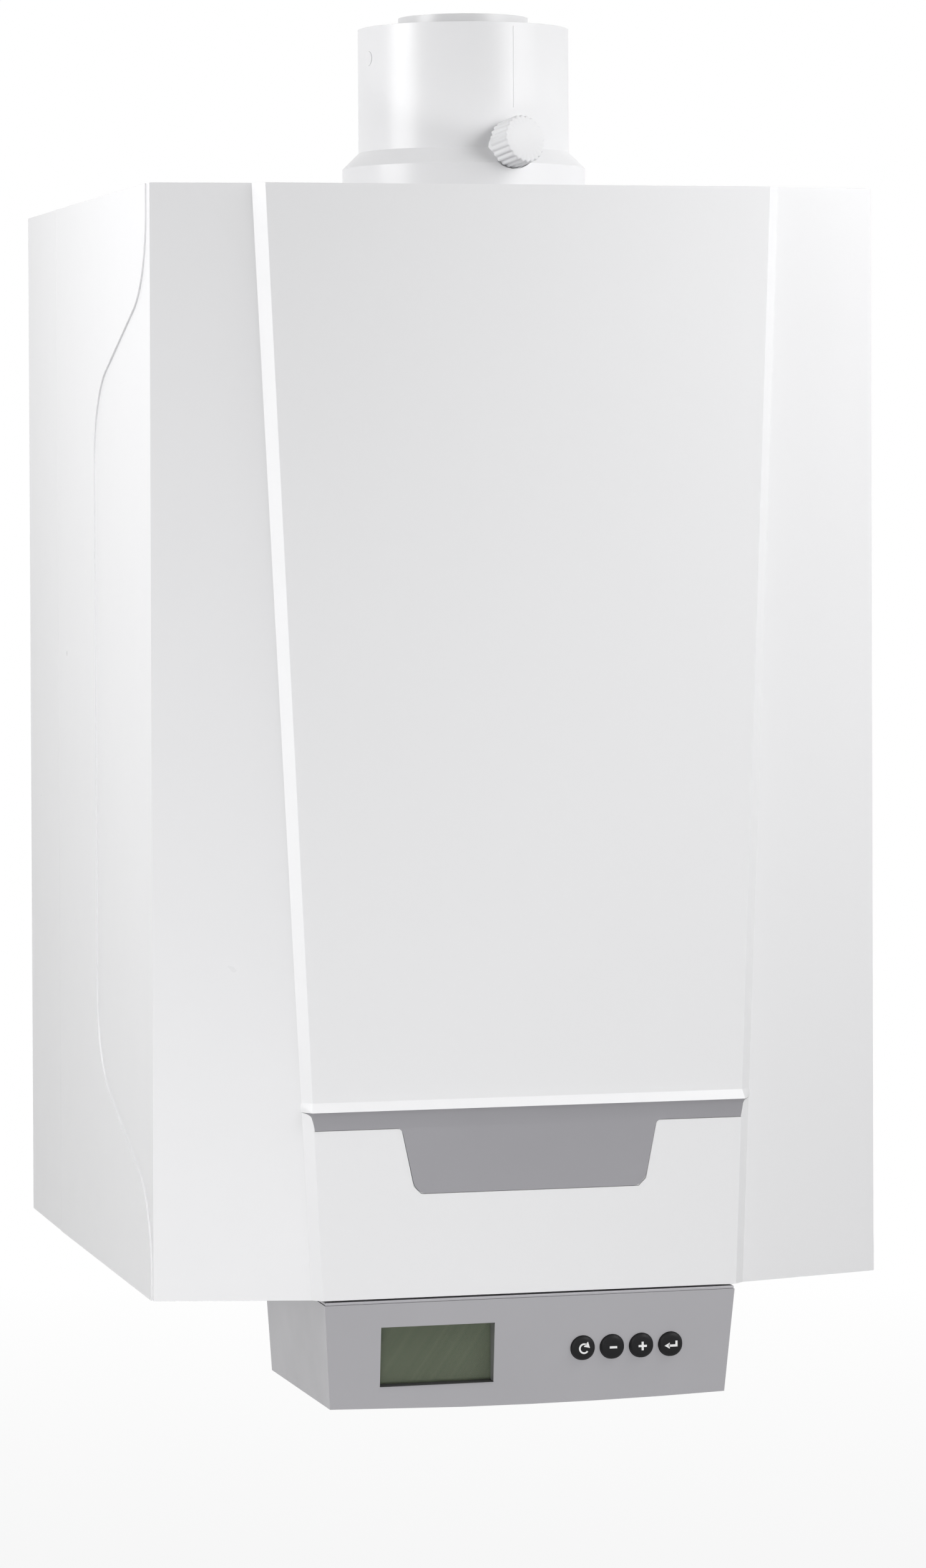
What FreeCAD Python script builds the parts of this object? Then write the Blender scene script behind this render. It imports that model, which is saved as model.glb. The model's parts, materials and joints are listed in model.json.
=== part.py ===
import FreeCAD, Part
import Sketcher
import math
import os
import re

# A wall-hung condensing gas boiler. Lengths are millimetres and angles degrees.
# The origin is on the wall, midway between the two wall bolts; X points right, Y into the wall, Z up.
SIZES = {
    # casing
    "casing_width": 500,
    "casing_height": 728,
    "casing_depth": 493.5,
    "top_rise": 45,
    "chassis_depth": 124,
    "chassis_lip": 12,
    "web_depth": 25,
    "sheet": 1.5,
    "seam_gap": 0.8,
    "plate_drop": 3,
    "plate_inset": 10,
    "plate_setback": 37.5,
    # wall bracket
    "bracket_length": 380,
    "bracket_sheet": 3,
    "bracket_foot": 22,
    "bracket_head": 14,
    "bracket_reach": 14,
    "bracket_lip": 17,
    "bolt_spacing": 300,
    "bolt_hole_radius": 5.5,
    # front cover
    "cover_wall": 2.5,
    "cover_flange": 18,
    "panel_rise": 31.5,
    "panel_lean": 12.2,
    "facet_inset": 4.7,
    "side_taper": 0.0077,
    "corner_lean": 6.7,
    "facet_top": 73.5,
    "facet_base": 105.2,
    "step_top_width": 7.7,
    "step_base_width": 6.2,
    "step_pitch": 0.95,
    "recess_depth": 1.2,
    "recess_rear_depth": 268,
    "recess_setback": 3,
    "recess_high_corner": 64,
    "recess_low_corner": 136,
    "recess_bend": 68,
    "screw_inset": 60,
    "screw_setback": 46.5,
    "screw_radius": 3,
    # cover trim
    "lip_rise": 128.5,
    "lip_height": 6,
    "lip_reach": 3.2,
    "cove_height": 3,
    "cove_reach": 1.2,
    "band_height": 12,
    "trim_thickness": 1.5,
    "plaque_top_half": 86.5,
    "plaque_low_half": 78.5,
    "plaque_base_half": 73.5,
    "plaque_height": 43,
    "plaque_corner": 5,
    # flue adapter
    "flue_depth": 325,
    "collar_radius": 83.4,
    "collar_height": 19,
    "collar_slope": 11,
    "air_outer_radius": 72.3,
    "air_bore_radius": 63,
    "air_throat_radius": 59,
    "air_socket_height": 114.7,
    "air_socket_length": 63,
    "flue_outer_radius": 44.6,
    "flue_bore_radius": 40.3,
    "flue_throat_radius": 37,
    "flue_socket_height": 122.5,
    "flue_socket_length": 66,
    "spigot_radius": 39.6,
    "spigot_drop": 30,
    "seal_height": 7,
    "seal_depth": 2.5,
    # flue gas sampling point
    "sampling_angle": 22.6,
    "sampling_tilt": 10.7,
    "sampling_offset": 17,
    "sampling_height": 17.2,
    "nipple_radius": 11.5,
    "nipple_bore": 8,
    "nipple_end": 87,
    "cap_radius": 16.5,
    "cap_start": 77,
    "cap_length": 18,
    "flute_radius": 1.4,
    "flute_offset": 0.4,
    # heat exchanger
    "exchanger_gap": 145,
    "exchanger_length": 190,
    "exchanger_top": 160,
    "under_room": 168,
    "chamber_radius": 45,
    "chamber_height": 220,
    "water_jacket": 27,
    "passage_reach": 60,
    "passage_width": 12,
    "passage_pitch": 19,
    "passage_margin": 45,
    "hatch_base": 70,
    "hatch_half": 70,
    "hatch_height": 180,
    "hatch_border": 4,
    "hatch_plate": 6,
    "bolt_radius": 6.5,
    "bolt_head": 5,
    "bolt_inset": 12,
    "rail_depth": 18,
    "rail_height": 40,
    "rail_length": 320,
    "flue_pipe_radius": 42,
    "flue_pipe_wall": 2,
    "collector_height": 62,
    "collector_length": 340,
    "collector_wall": 3,
    "gasket_thickness": 3,
    # burner and gas train
    "burner_radius": 35,
    "burner_length": 185,
    "burner_flange_radius": 62,
    "mixing_radius": 24,
    "mixing_wall": 3,
    "mixing_bend": 45,
    "fan_inset": 72,
    "fan_radius": 58,
    "fan_height": 46,
    "fan_wall": 3,
    "impeller_radius": 48,
    "impeller_height": 30,
    "shaft_radius": 4,
    "shaft_clearance": 0.05,
    "motor_radius": 40,
    "motor_height": 45,
    "venturi_radius": 34,
    "venturi_height": 60,
    "throat_radius": 16,
    "silencer_height": 145,
    "silencer_half": 50,
    "silencer_wall": 3,
    "silencer_neck": 24,
    "silencer_inlet": 28,
    "valve_width": 80,
    "valve_depth": 70,
    "valve_height": 70,
    # pipes
    "water_radius": 17.5,
    "water_wall": 1.5,
    "water_bend": 35,
    "water_tail_radius": 20.95,
    "gas_radius": 11,
    "gas_tail_radius": 13.2,
    "drain_radius": 16,
    "tail_length": 26,
    "tail_reach": 29,
    "flow_inset": 45,
    "water_pitch": 65,
    "flow_drop": 200,
    "return_rise": 40,
    "siphon_radius": 32,
    "siphon_height": 62,
    "loom_radius": 5,
    "clip_half": 16,
    "clip_height": 10,
    "gland_radius": 8,
    "gland_nut": 12,
    "gland_depth": 275,
    "gland_first": 60,
    "gland_pitch": 35,
    # control box
    "box_gap": 1.2,
    "box_height": 70.8,
    "box_overhang": 0.5,
    "box_lean": 9,
    "box_rear_drop": 4,
    "box_sag": 2.5,
    "box_top_half": 139,
    "box_taper": 5,
    "box_wall": 2.5,
    "lid_thickness": 2,
    "screen_centre": 62.75,
    "screen_width": 76.5,
    "screen_height": 39.5,
    "screen_base": 13.5,
    "screen_recess": 10,
    "key_height": 33.5,
    "key_first": 35.6,
    "key_pitch": 20,
    "key_radius": 8,
    "key_clearance": 0.35,
    "key_reach": 4,
    "key_travel": 1.2,
    "hinge_half": 120,
    "hinge_depth": 294,
    "hinge_reach": 6,
    "hinge_set": 7,
    "hinge_radius": 3,
    "hinge_eye": 5.5,
    "hinge_sheet": 4,
    "card_gap": 34,
    "card_half": 93,
    "card_centre": 25,
    "board_thickness": 1.6,
    "post_radius": 3,
}

# Places that follow from the sizes.
PLACES = {
    "side": "casing_width / 2",
    "casing_top": "top_rise",
    "casing_base": "top_rise - casing_height",
    "lip_drop": "casing_height - lip_rise",
    "exchanger_height": "casing_height - exchanger_top - under_room",
    "return_drop": "exchanger_top + exchanger_height - return_rise",
    "web_front": "-web_depth - sheet",
    "cover_rear": "-chassis_depth - seam_gap",
    "core_half": "side - recess_depth",
    "facet_half": "side - facet_inset",
    "panel_top_half": "facet_half - facet_top",
    "panel_bottom_half": "facet_half - facet_base",
    "screw_x": "side - screw_inset",
    "flow_x": "side - flow_inset",
    "return_x": "flow_x - water_pitch",
    "fan_x": "side - fan_inset",
    "exchanger_half": "side - exchanger_gap",
    "facet_depth": "casing_depth - panel_rise",
    "plate_front_depth": "casing_depth - plate_setback",
    "screw_depth": "casing_depth - screw_setback",
    "recess_front_depth": "facet_depth - recess_setback",
    "top_plate_top": "casing_top - plate_drop",
    "base_plate_low": "casing_base + plate_drop",
    "plate_half": "side - plate_inset",
    "flue_y": "-flue_depth",
    "exchanger_rear": "web_front - rail_depth",
    "exchanger_front": "exchanger_rear - exchanger_length",
    "exchanger_y": "exchanger_rear - exchanger_length / 2",
    "exchanger_high": "casing_top - exchanger_top",
    "exchanger_low": "exchanger_high - exchanger_height",
    "burner_seat": "exchanger_high + gasket_thickness",
    "mixing_seat": "burner_seat + 3",
    "mixing_axis": "mixing_seat + 8 + 15 + mixing_bend",
    "fan_low": "mixing_axis - fan_height / 2",
    "fan_high": "mixing_axis + fan_height / 2",
    "fan_y": "exchanger_y - (fan_radius - mixing_radius - 2)",
    "venturi_low": "fan_low - venturi_height",
    "valve_rear": "fan_y - venturi_radius - 6",
    "valve_high": "fan_low - 6",
    "valve_low": "valve_high - valve_height",
    "gas_y": "valve_rear - valve_depth / 2",
    "collector_high": "exchanger_low - gasket_thickness",
    "collector_low": "collector_high - collector_height",
    "tail_end": "casing_base - tail_reach",
    "box_high": "casing_base - box_gap",
    "box_low": "box_high - box_height",
    "box_bottom_half": "box_top_half - box_taper",
    "box_front_depth": "casing_depth + box_overhang",
    "box_rear_depth": "hinge_depth + hinge_reach",
    "box_front": "-box_front_depth",
    "box_rear": "-box_rear_depth",
    "key_z": "box_low + key_height",
    "face_mid": "box_front + box_lean * (box_high - key_z) / box_height",
    "screen_front": "face_mid + screen_recess",
    "board_front": "screen_front + 7",
    "card_front": "board_front + card_gap",
    "card_rear": "box_rear - 15",
    "card_length": "card_rear - card_front",
    "hinge_y": "-hinge_depth",
    "hinge_z": "box_high - hinge_set",
    "loom_y": "gas_y - 59",
}

WORD = re.compile(r"[a-z][a-z0-9_]*")
AXES = {"X": FreeCAD.Vector(1, 0, 0), "Y": FreeCAD.Vector(0, 1, 0), "Z": FreeCAD.Vector(0, 0, 1)}
TURN = {
    "X": FreeCAD.Rotation(FreeCAD.Vector(0, 1, 0), 90),
    "Y": FreeCAD.Rotation(FreeCAD.Vector(1, 0, 0), -90),
    "Z": FreeCAD.Rotation(),
}

doc = FreeCAD.newDocument("gas_boiler")
sheet = doc.addObject("Spreadsheet::Sheet", "dims")
for row, (alias, value) in enumerate(SIZES.items(), 1):
    sheet.set(f"A{row}", alias)
    sheet.set(f"B{row}", str(value))
    sheet.setAlias(f"B{row}", alias)
doc.recompute()
places = doc.addObject("App::VarSet", "places")
pieces = {}


def bound(text):
    def owner(match):
        name = match.group(0)
        if name in SIZES:
            return "dims." + name
        return "places." + name if name in PLACES else name

    return WORD.sub(owner, str(text))


for place, formula in PLACES.items():
    places.addProperty("App::PropertyFloat", place, "places")
    places.setExpression(place, bound(formula))
doc.recompute()


def size(name):
    return float(sheet.get(name))


def put(item, at):
    for letter, text in zip("xyz", at):
        item.setExpression(f"Placement.Base.{letter}", bound(text))
    return item


def box(low, high):
    item = doc.addObject("Part::Box", "block")
    for edge, start, end in zip(("Length", "Width", "Height"), low, high):
        item.setExpression(edge, bound(f"({end}) - ({start})"))
    return put(item, low)


def rod(radius, start, length, axis="Z"):
    item = doc.addObject("Part::Cylinder", "rod")
    item.setExpression("Radius", bound(radius))
    item.setExpression("Height", bound(length))
    item.Placement.Rotation = TURN[axis]
    return put(item, start)


def hexagon(radius, start, length, axis="Z"):
    item = doc.addObject("Part::Prism", "hexagon")
    item.Polygon = 6
    item.setExpression("Circumradius", bound(radius))
    item.setExpression("Height", bound(length))
    item.Placement.Rotation = TURN[axis]
    return put(item, start)


def elbow(bend, radius, corner, into, out):
    item = doc.addObject("Part::Torus", "elbow")
    item.setExpression("Radius1", bound(bend))
    item.setExpression("Radius2", bound(radius))
    item.Angle3 = 90
    item.Placement.Rotation = FreeCAD.Rotation(-out, into, into.cross(out), "ZXY")
    centre = [f"({c}) + ({b}) * ({bend})" for c, b in zip(corner, out - into)]
    return put(item, centre)


def join(*items):
    item = doc.addObject("Part::MultiFuse", "joined")
    item.Shapes = list(items)
    item.Refine = True
    return item


def cut(base, *tools):
    item = doc.addObject("Part::Cut", "trimmed")
    item.Base = base
    item.Tool = tools[0] if len(tools) == 1 else join(*tools)
    item.Refine = True
    return item


def common(*items):
    item = doc.addObject("Part::MultiCommon", "overlap")
    item.Shapes = list(items)
    item.Refine = True
    return item


def together(*items):
    item = doc.addObject("Part::Compound", "set")
    item.Links = list(items)
    return item


def piece(name, item):
    item.Label = name
    pieces[name] = item
    return item


def outline(body, plane, points, offset="0"):
    drawn = body.newObject("Sketcher::SketchObject", "outline")
    origin_plane = next(f for f in body.Origin.OriginFeatures if f.Role == plane + "_Plane")
    drawn.AttachmentSupport = [(origin_plane, "")]
    drawn.MapMode = "FlatFace"
    drawn.setExpression("AttachmentOffset.Base.z", bound(offset))
    count = len(points)
    corners = [FreeCAD.Vector(5 * i, (i * i) % 7, 0) for i in range(count)]
    for i in range(count):
        drawn.addGeometry(Part.LineSegment(corners[i], corners[(i + 1) % count]))
    for i in range(count):
        drawn.addConstraint(Sketcher.Constraint("Coincident", i, 2, (i + 1) % count, 1))
    for i, point in enumerate(points):
        for kind, text in zip(("DistanceX", "DistanceY"), point):
            index = drawn.addConstraint(Sketcher.Constraint(kind, -1, 1, i, 1, 1.0))
            drawn.setExpression(f"Constraints[{index}]", bound(text))
    return drawn


def padded(plane, points, length, offset="0", centred=False):
    body = doc.addObject("PartDesign::Body", "body")
    pad = body.newObject("PartDesign::Pad", "pad")
    pad.Profile = outline(body, plane, points, offset)
    pad.setExpression("Length", bound(length))
    pad.Midplane = centred
    body.Tip = pad
    return body


def drilled(body, circles):
    holes = body.newObject("Sketcher::SketchObject", "holes")
    base_plane = next(f for f in body.Origin.OriginFeatures if f.Role == "XY_Plane")
    holes.AttachmentSupport = [(base_plane, "")]
    holes.MapMode = "FlatFace"
    for i, (x, y, radius) in enumerate(circles):
        centre = FreeCAD.Vector(40 * i - 100, 10, 0)
        holes.addGeometry(Part.Circle(centre, AXES["Z"], 5))
        for kind, text in (("DistanceX", x), ("DistanceY", y)):
            index = holes.addConstraint(Sketcher.Constraint(kind, -1, 1, i, 3, 1.0))
            holes.setExpression(f"Constraints[{index}]", bound(text))
        index = holes.addConstraint(Sketcher.Constraint("Radius", i, 5.0))
        holes.setExpression(f"Constraints[{index}]", bound(radius))
    pocket = body.newObject("PartDesign::Pocket", "pocket")
    pocket.Profile = holes
    pocket.Type = 1
    pocket.Midplane = True
    body.Tip = pocket
    return body


def turned(points, at, rotation=None):
    body = doc.addObject("PartDesign::Body", "body")
    spun = body.newObject("PartDesign::Revolution", "spun")
    section = outline(body, "XZ", points)
    spun.Profile = section
    spun.ReferenceAxis = (section, ["V_Axis"])
    spun.Angle = 360
    body.Tip = spun
    if rotation:
        body.Placement.Rotation = rotation
    return put(body, at)


def lofted(plane, first, second):
    body = doc.addObject("PartDesign::Body", "body")
    skin = body.newObject("PartDesign::AdditiveLoft", "skin")
    skin.Profile = outline(body, plane, *first)
    skin.Sections = [outline(body, plane, *second)]
    skin.Ruled = True
    body.Tip = skin
    return body


def pipe(corners, radius, bend):
    """A round run through corner points that lie along the axes, with a quarter bend at each inner corner."""
    runs = []
    for (start, way, low_bend), (end, _, high_bend) in zip(corners, corners[1:]):
        axis = next(name for name, vector in AXES.items() if abs(way.dot(vector)) > 0.5)
        index = "XYZ".index(axis)
        sign = 1 if way[index] > 0 else -1
        first, last = (start, end) if sign > 0 else (end, start)
        first_bend, last_bend = (low_bend, high_bend) if sign > 0 else (high_bend, low_bend)
        begin = list(first)
        begin[index] = f"({first[index]}) + ({bend})" if first_bend else first[index]
        stop = f"({last[index]}) - ({bend})" if last_bend else last[index]
        runs.append(rod(radius, begin, f"({stop}) - ({begin[index]})", axis))
    for (_, into, _), (corner, out, bent) in zip(corners, corners[1:]):
        if bent:
            runs.append(elbow(bend, radius, corner, into, out))
    return runs


def mirrored(item):
    twin = doc.addObject("Part::Mirroring", "mirrored")
    twin.Source = item
    twin.Normal = AXES["X"]
    return twin


LEFT = FreeCAD.Vector(-1, 0, 0)
RIGHT = FreeCAD.Vector(1, 0, 0)
DOWN = FreeCAD.Vector(0, 0, -1)
UP = FreeCAD.Vector(0, 0, 1)
FRONT = FreeCAD.Vector(0, -1, 0)
BACK = FreeCAD.Vector(0, 1, 0)

# Wall bracket, and the rail on the chassis that hooks over its lip.
bracket_form = padded(
    "YZ",
    [
        ("0", "-bracket_foot"),
        ("0", "bracket_head"),
        ("bracket_sheet - bracket_reach", "bracket_head"),
        ("bracket_sheet - bracket_reach", "bracket_head - bracket_sheet + bracket_lip"),
        ("-bracket_reach", "bracket_head - bracket_sheet + bracket_lip"),
        ("-bracket_reach", "bracket_head - bracket_sheet"),
        ("-bracket_sheet", "bracket_head - bracket_sheet"),
        ("-bracket_sheet", "-bracket_foot"),
    ],
    "bracket_length",
    centred=True,
)
bolt_holes = [
    rod("bolt_hole_radius", (x, "-20", "0"), "40", "Y") for x in ("-bolt_spacing / 2", "bolt_spacing / 2")
]
piece("wall_bracket", cut(bracket_form, *bolt_holes))
hook = "bracket_head - bracket_sheet + bracket_lip"
piece(
    "hanging_rail",
    padded(
        "YZ",
        [
            ("-web_depth", "bracket_head - 4"),
            ("2 - web_depth", "bracket_head - 4"),
            ("2 - web_depth", hook),
            ("2 - bracket_reach + bracket_sheet", hook),
            ("2 - bracket_reach + bracket_sheet", f"{hook} - 11"),
            ("4.5 - bracket_reach + bracket_sheet", f"{hook} - 11"),
            ("4.5 - bracket_reach + bracket_sheet", f"{hook} + 2.5"),
            ("-web_depth", f"{hook} + 2.5"),
        ],
        "bracket_length",
        centred=True,
    ),
)

# Chassis: a folded tray whose web stands off the wall, with lips that carry the cover seals.
inner_side = "side - sheet"
lip_edge = "side - chassis_lip"
lip_back = "sheet - chassis_depth"
half_section = [
    (inner_side, "-web_depth"),
    (inner_side, "0"),
    ("side", "0"),
    ("side", "-chassis_depth"),
    (lip_edge, "-chassis_depth"),
    (lip_edge, lip_back),
    (inner_side, lip_back),
    (inner_side, "web_front"),
]
other_half = [(f"-({x})", y) for x, y in reversed(half_section)]
piece("chassis", padded("XY", half_section + other_half, "casing_height", "casing_base"))


def plate(low):
    points = [
        (inner_side, "web_front"),
        (inner_side, "sheet - chassis_depth"),
        ("plate_half", "sheet - chassis_depth"),
        ("plate_half", "-plate_front_depth"),
    ]
    return padded("XY", points + [(f"-({x})", y) for x, y in reversed(points)], "sheet", low)


piece("top_plate", drilled(plate("top_plate_top - sheet"), [("0", "flue_y", "air_bore_radius")]))

pipe_holes = [
    ("flow_x", "exchanger_y", "water_radius + 4"),
    ("return_x", "exchanger_y", "water_radius + 4"),
    ("-fan_x", "gas_y", "gas_radius + 4"),
    ("0", "exchanger_y - 60", "drain_radius + 4"),
]
gland_places = [
    ("-fan_x", "loom_y"),
    ("gland_first", "-gland_depth"),
    ("gland_first + gland_pitch", "-gland_depth"),
]
gland_holes = [(x, y, "gland_radius + 0.4") for x, y in gland_places]
slots = []
for x in ("-screw_x", "screw_x"):
    slots.append(rod("screw_radius + 0.6", (x, "-screw_depth", "base_plate_low - 5"), "20"))
    slots.append(
        box(
            (f"{x} - screw_radius - 0.6", "-plate_front_depth - 5", "base_plate_low - 5"),
            (f"{x} + screw_radius + 0.6", "-screw_depth", "base_plate_low + 15"),
        )
    )
piece("bottom_plate", cut(drilled(plate("base_plate_low"), pipe_holes + gland_holes), *slots))

# Front cover: a tapered core with swept facets, a raised middle panel and raised rear side plates.


def between(drop, top, base):
    return f"({top} + ({base} - {top}) * ({drop}) / casing_height)"


def panel_half(drop):
    return between(drop, "panel_top_half", "panel_bottom_half")


def panel_face(drop):
    return between(drop, "(casing_depth - panel_lean)", "casing_depth")


def step_width(drop):
    return between(drop, "step_top_width", "step_base_width")


def corner(drop, out="0"):
    depth = between(drop, "(facet_depth + corner_lean)", "facet_depth")
    return f"core_half - ({depth} + cover_rear) * side_taper + {out}", f"-{depth}"


def front_form(inset, extra, rear):
    """The cover's outline, or its hollow: the facets twist and the panel leans out towards the base."""

    def section(drop):
        corner_half, corner_front = corner(drop)
        half = panel_half(drop)
        face = panel_face(drop)
        wide = step_width(drop)
        points = [
            (f"core_half - {inset}", rear),
            (f"{corner_half} - {inset}", f"{corner_front} + {inset}"),
            (f"{half} + {wide} - {inset} * 0.45", f"{inset} * 0.95 + {wide} * step_pitch - {face}"),
            (f"{half} - {inset} * 0.41", f"{inset} - {face}"),
        ]
        return points + [(f"-({x})", y) for x, y in reversed(points)], f"casing_top - ({drop})"

    return lofted("XY", section(f"casing_height - {extra}"), section(extra))


def rounded(points, radius):
    """Edges of a closed outline in the side plane; each corner that has a mark is rounded."""
    edges = []
    ends = []
    count = len(points)
    for i, (corner, soft) in enumerate(points):
        if not soft:
            ends.append((corner, corner))
            continue
        before = (points[i - 1][0] - corner).normalize()
        after = (points[(i + 1) % count][0] - corner).normalize()
        half_angle = before.getAngle(after) / 2
        reach = radius / math.tan(half_angle)
        middle = (before + after).normalize() * (radius / math.sin(half_angle) - radius)
        first = corner + before * reach
        last = corner + after * reach
        edges.append(Part.Arc(first, corner + middle, last).toShape())
        ends.append((first, last))
    for i in range(count):
        start = ends[i][1]
        end = ends[(i + 1) % count][0]
        if (start - end).Length > 1e-6:
            edges.append(Part.LineSegment(start, end).toShape())
    return edges


def side_plate():
    shallow = -places.recess_front_depth
    deep = -size("recess_rear_depth")
    top = places.casing_top
    base = places.casing_base
    rear = places.cover_rear
    inner = places.side - 9
    marks = [
        (rear, top, False),
        (shallow, top, False),
        (shallow, top - size("recess_high_corner"), True),
        (deep, top - size("recess_low_corner"), True),
        (deep, base + size("recess_low_corner"), True),
        (shallow, base + size("recess_high_corner"), True),
        (shallow, base, False),
        (rear, base, False),
    ]
    corners = [(FreeCAD.Vector(inner, y, z), soft) for y, z, soft in marks]
    wire = Part.Wire(Part.__sortEdges__(rounded(corners, size("recess_bend"))))
    item = doc.addObject("Part::Feature", "side_plate")
    item.Shape = Part.Face(wire).extrude(FreeCAD.Vector(9, 0, 0))
    return item


def lip_section(reach):
    front = f"-{panel_face('lip_drop')} - ({reach})"
    near = f"{panel_half('lip_drop')} + ({reach}) / 3"
    wide = f"2 * {step_width('lip_drop')}"
    far = f"{panel_half('lip_drop')} + {wide} - ({reach}) * 1.45"
    rear = f"{front} + {wide} * step_pitch"
    return [(f"-({near})", front), (near, front), (far, rear), (f"-({far})", rear)]


def cove_section(drop, reach, widen, spread):
    front = f"-{panel_face(drop)} - ({reach})"
    near = f"{panel_half(drop)} + ({widen})"
    return [
        (f"-({near})", front),
        (near, front),
        (f"{near} + {spread}", f"{front} + 3 * step_base_width"),
        (f"-({near} + {spread})", f"{front} + 3 * step_base_width"),
    ]


def band(grow):
    """The cove under the lip: it falls back from the lip's edge to the panel's face."""
    start = "lip_drop + lip_height"
    turn = f"{start} + cove_height"
    end = f"{start} + band_height + {grow}"
    high = (lip_section("lip_reach - 0.4"), f"casing_top - ({start})")
    middle = (cove_section(turn, "cove_reach", "0.6", "5"), f"casing_top - ({turn})")
    low = (cove_section(end, "0.3", "-0.4", "0.4"), f"casing_top - ({end})")
    return join(lofted("XY", high, middle), lofted("XY", middle, low))


def plaque(grow, depth, reach):
    """The plate under the band, parallel to the panel's face."""
    high_drop = f"(lip_drop + lip_height + band_height - {grow})"
    low_drop = f"({high_drop} + plaque_height + 2 * {grow})"
    top = f"casing_top - {high_drop}"
    low = f"casing_top - {low_drop}"
    points = [
        (f"plaque_base_half + {grow}", low),
        (f"plaque_low_half + {grow}", f"{low} + plaque_corner"),
        (f"plaque_top_half + {grow}", top),
    ]
    ring = points + [(f"-({x})", y) for x, y in reversed(points)]
    slab = padded(
        "YZ",
        [
            (f"-{panel_face(high_drop)} - {reach}", top),
            (f"-{panel_face(low_drop)} - {reach}", low),
            (f"{depth} - {panel_face(low_drop)}", low),
            (f"{depth} - {panel_face(high_drop)}", top),
        ],
        "casing_width",
        centred=True,
    )
    return common(padded("XZ", ring, "panel_rise * 2", "facet_depth"), slab)


def plate_section(drop):
    corner_half, corner_front = corner(drop, "recess_depth")
    points = [("side", "cover_rear"), (corner_half, corner_front), ("0", corner_front), ("0", "cover_rear")]
    return points, f"casing_top - ({drop})"


outer_form = front_form("0", "0", "cover_rear")
plate_limit = lofted("XY", plate_section("casing_height"), plate_section("0"))
right_plate = common(side_plate(), plate_limit)
lip = lofted(
    "XY",
    (lip_section("0"), "casing_top - lip_drop"),
    (lip_section("lip_reach"), "casing_top - lip_drop - lip_height"),
)
shell = join(outer_form, right_plate, mirrored(right_plate), lip)
void = front_form("cover_wall", "cover_wall", "cover_rear + 5")
opening = box(
    ("cover_wall + cover_flange - facet_half", "cover_wall + cover_flange - facet_depth", "casing_base - 5"),
    ("facet_half - cover_wall - cover_flange", "cover_rear + 5", "casing_top + 5"),
)
screw_places = [(x, "-screw_depth") for x in ("-screw_x", "screw_x")]
screw_holes = [rod("screw_radius + 0.4", (x, y, "casing_base - 5"), "20") for x, y in screw_places]
trim_bed = front_form("trim_thickness", "0", "cover_rear")
trim_seat = join(cut(band("0.3"), trim_bed), plaque("0.3", "trim_thickness", "5"))
piece(
    "front_cover",
    cut(shell, void, opening, trim_seat, *screw_holes),
)
band_skin = cut(band("0"), trim_bed)
piece("cover_trim", join(band_skin, plaque("0", "trim_thickness", "0.3")))

screws = []
for x, y in screw_places:
    shank = rod("screw_radius", (x, y, "casing_base"), "12")
    head = rod("screw_radius * 2", (x, y, "casing_base - 2.5"), "2.5")
    slot = box(
        (f"{x} - screw_radius * 2 - 1", f"{y} - 0.6", "casing_base - 5"),
        (f"{x} + screw_radius * 2 + 1", f"{y} + 0.6", "casing_base - 1.2"),
    )
    screws.append(cut(join(shank, head), slot))
piece("cover_screws", together(*screws))
strip = box(
    ("side - chassis_lip", "-chassis_depth - 4", "base_plate_low + sheet + 1"),
    ("core_half - cover_wall - 0.5", "-chassis_depth", "top_plate_top - sheet - 1"),
)
piece("cover_seals", together(strip, mirrored(strip)))

# Flue adapter: a white air socket around a flue socket, each with a seal ring near its mouth.
flue_at = ("0", "flue_y", "casing_top")
base_level = "-plate_drop"
air_groove = "air_socket_height - 16"
flue_groove = "flue_socket_height - 16"
ring_low = "12"
ring_high = "30"
air_form = turned(
    [
        ("air_throat_radius", base_level),
        ("collar_radius", base_level),
        ("collar_radius", "collar_height"),
        ("air_outer_radius", "collar_height + collar_slope"),
        ("air_outer_radius", "air_socket_height"),
        ("air_bore_radius", "air_socket_height"),
        ("air_bore_radius", f"{air_groove} + seal_height"),
        ("air_bore_radius + seal_depth", f"{air_groove} + seal_height"),
        ("air_bore_radius + seal_depth", air_groove),
        ("air_bore_radius", air_groove),
        ("air_bore_radius", "air_socket_height - air_socket_length"),
        ("air_throat_radius", "air_socket_height - air_socket_length"),
    ],
    flue_at,
)
ring = turned(
    [
        ("flue_outer_radius + 0.4", ring_low),
        ("flue_outer_radius + 3.4", ring_low),
        ("flue_outer_radius + 3.4", ring_high),
        ("flue_outer_radius + 0.4", ring_high),
    ],
    flue_at,
)
spokes = []
for low, high in (
    (("flue_outer_radius + 2", "-2"), ("air_throat_radius + 2", "2")),
    (("-air_throat_radius - 2", "-2"), ("-flue_outer_radius - 2", "2")),
    (("-2", "flue_outer_radius + 2"), ("2", "air_throat_radius + 2")),
    (("-2", "-air_throat_radius - 2"), ("2", "-flue_outer_radius - 2")),
):
    spokes.append(
        box(
            (low[0], f"flue_y + {low[1]}", f"casing_top + {ring_low}"),
            (high[0], f"flue_y + {high[1]}", f"casing_top + {ring_high}"),
        )
    )
port_turn = FreeCAD.Rotation(AXES["Z"], size("sampling_angle")).multiply(
    FreeCAD.Rotation(AXES["X"], 90 - size("sampling_tilt"))
)


def port_rod(radius, start, length):
    item = doc.addObject("Part::Cylinder", "port")
    item.setExpression("Radius", bound(radius))
    item.setExpression("Height", bound(length))
    return on_port(item, start)


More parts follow.
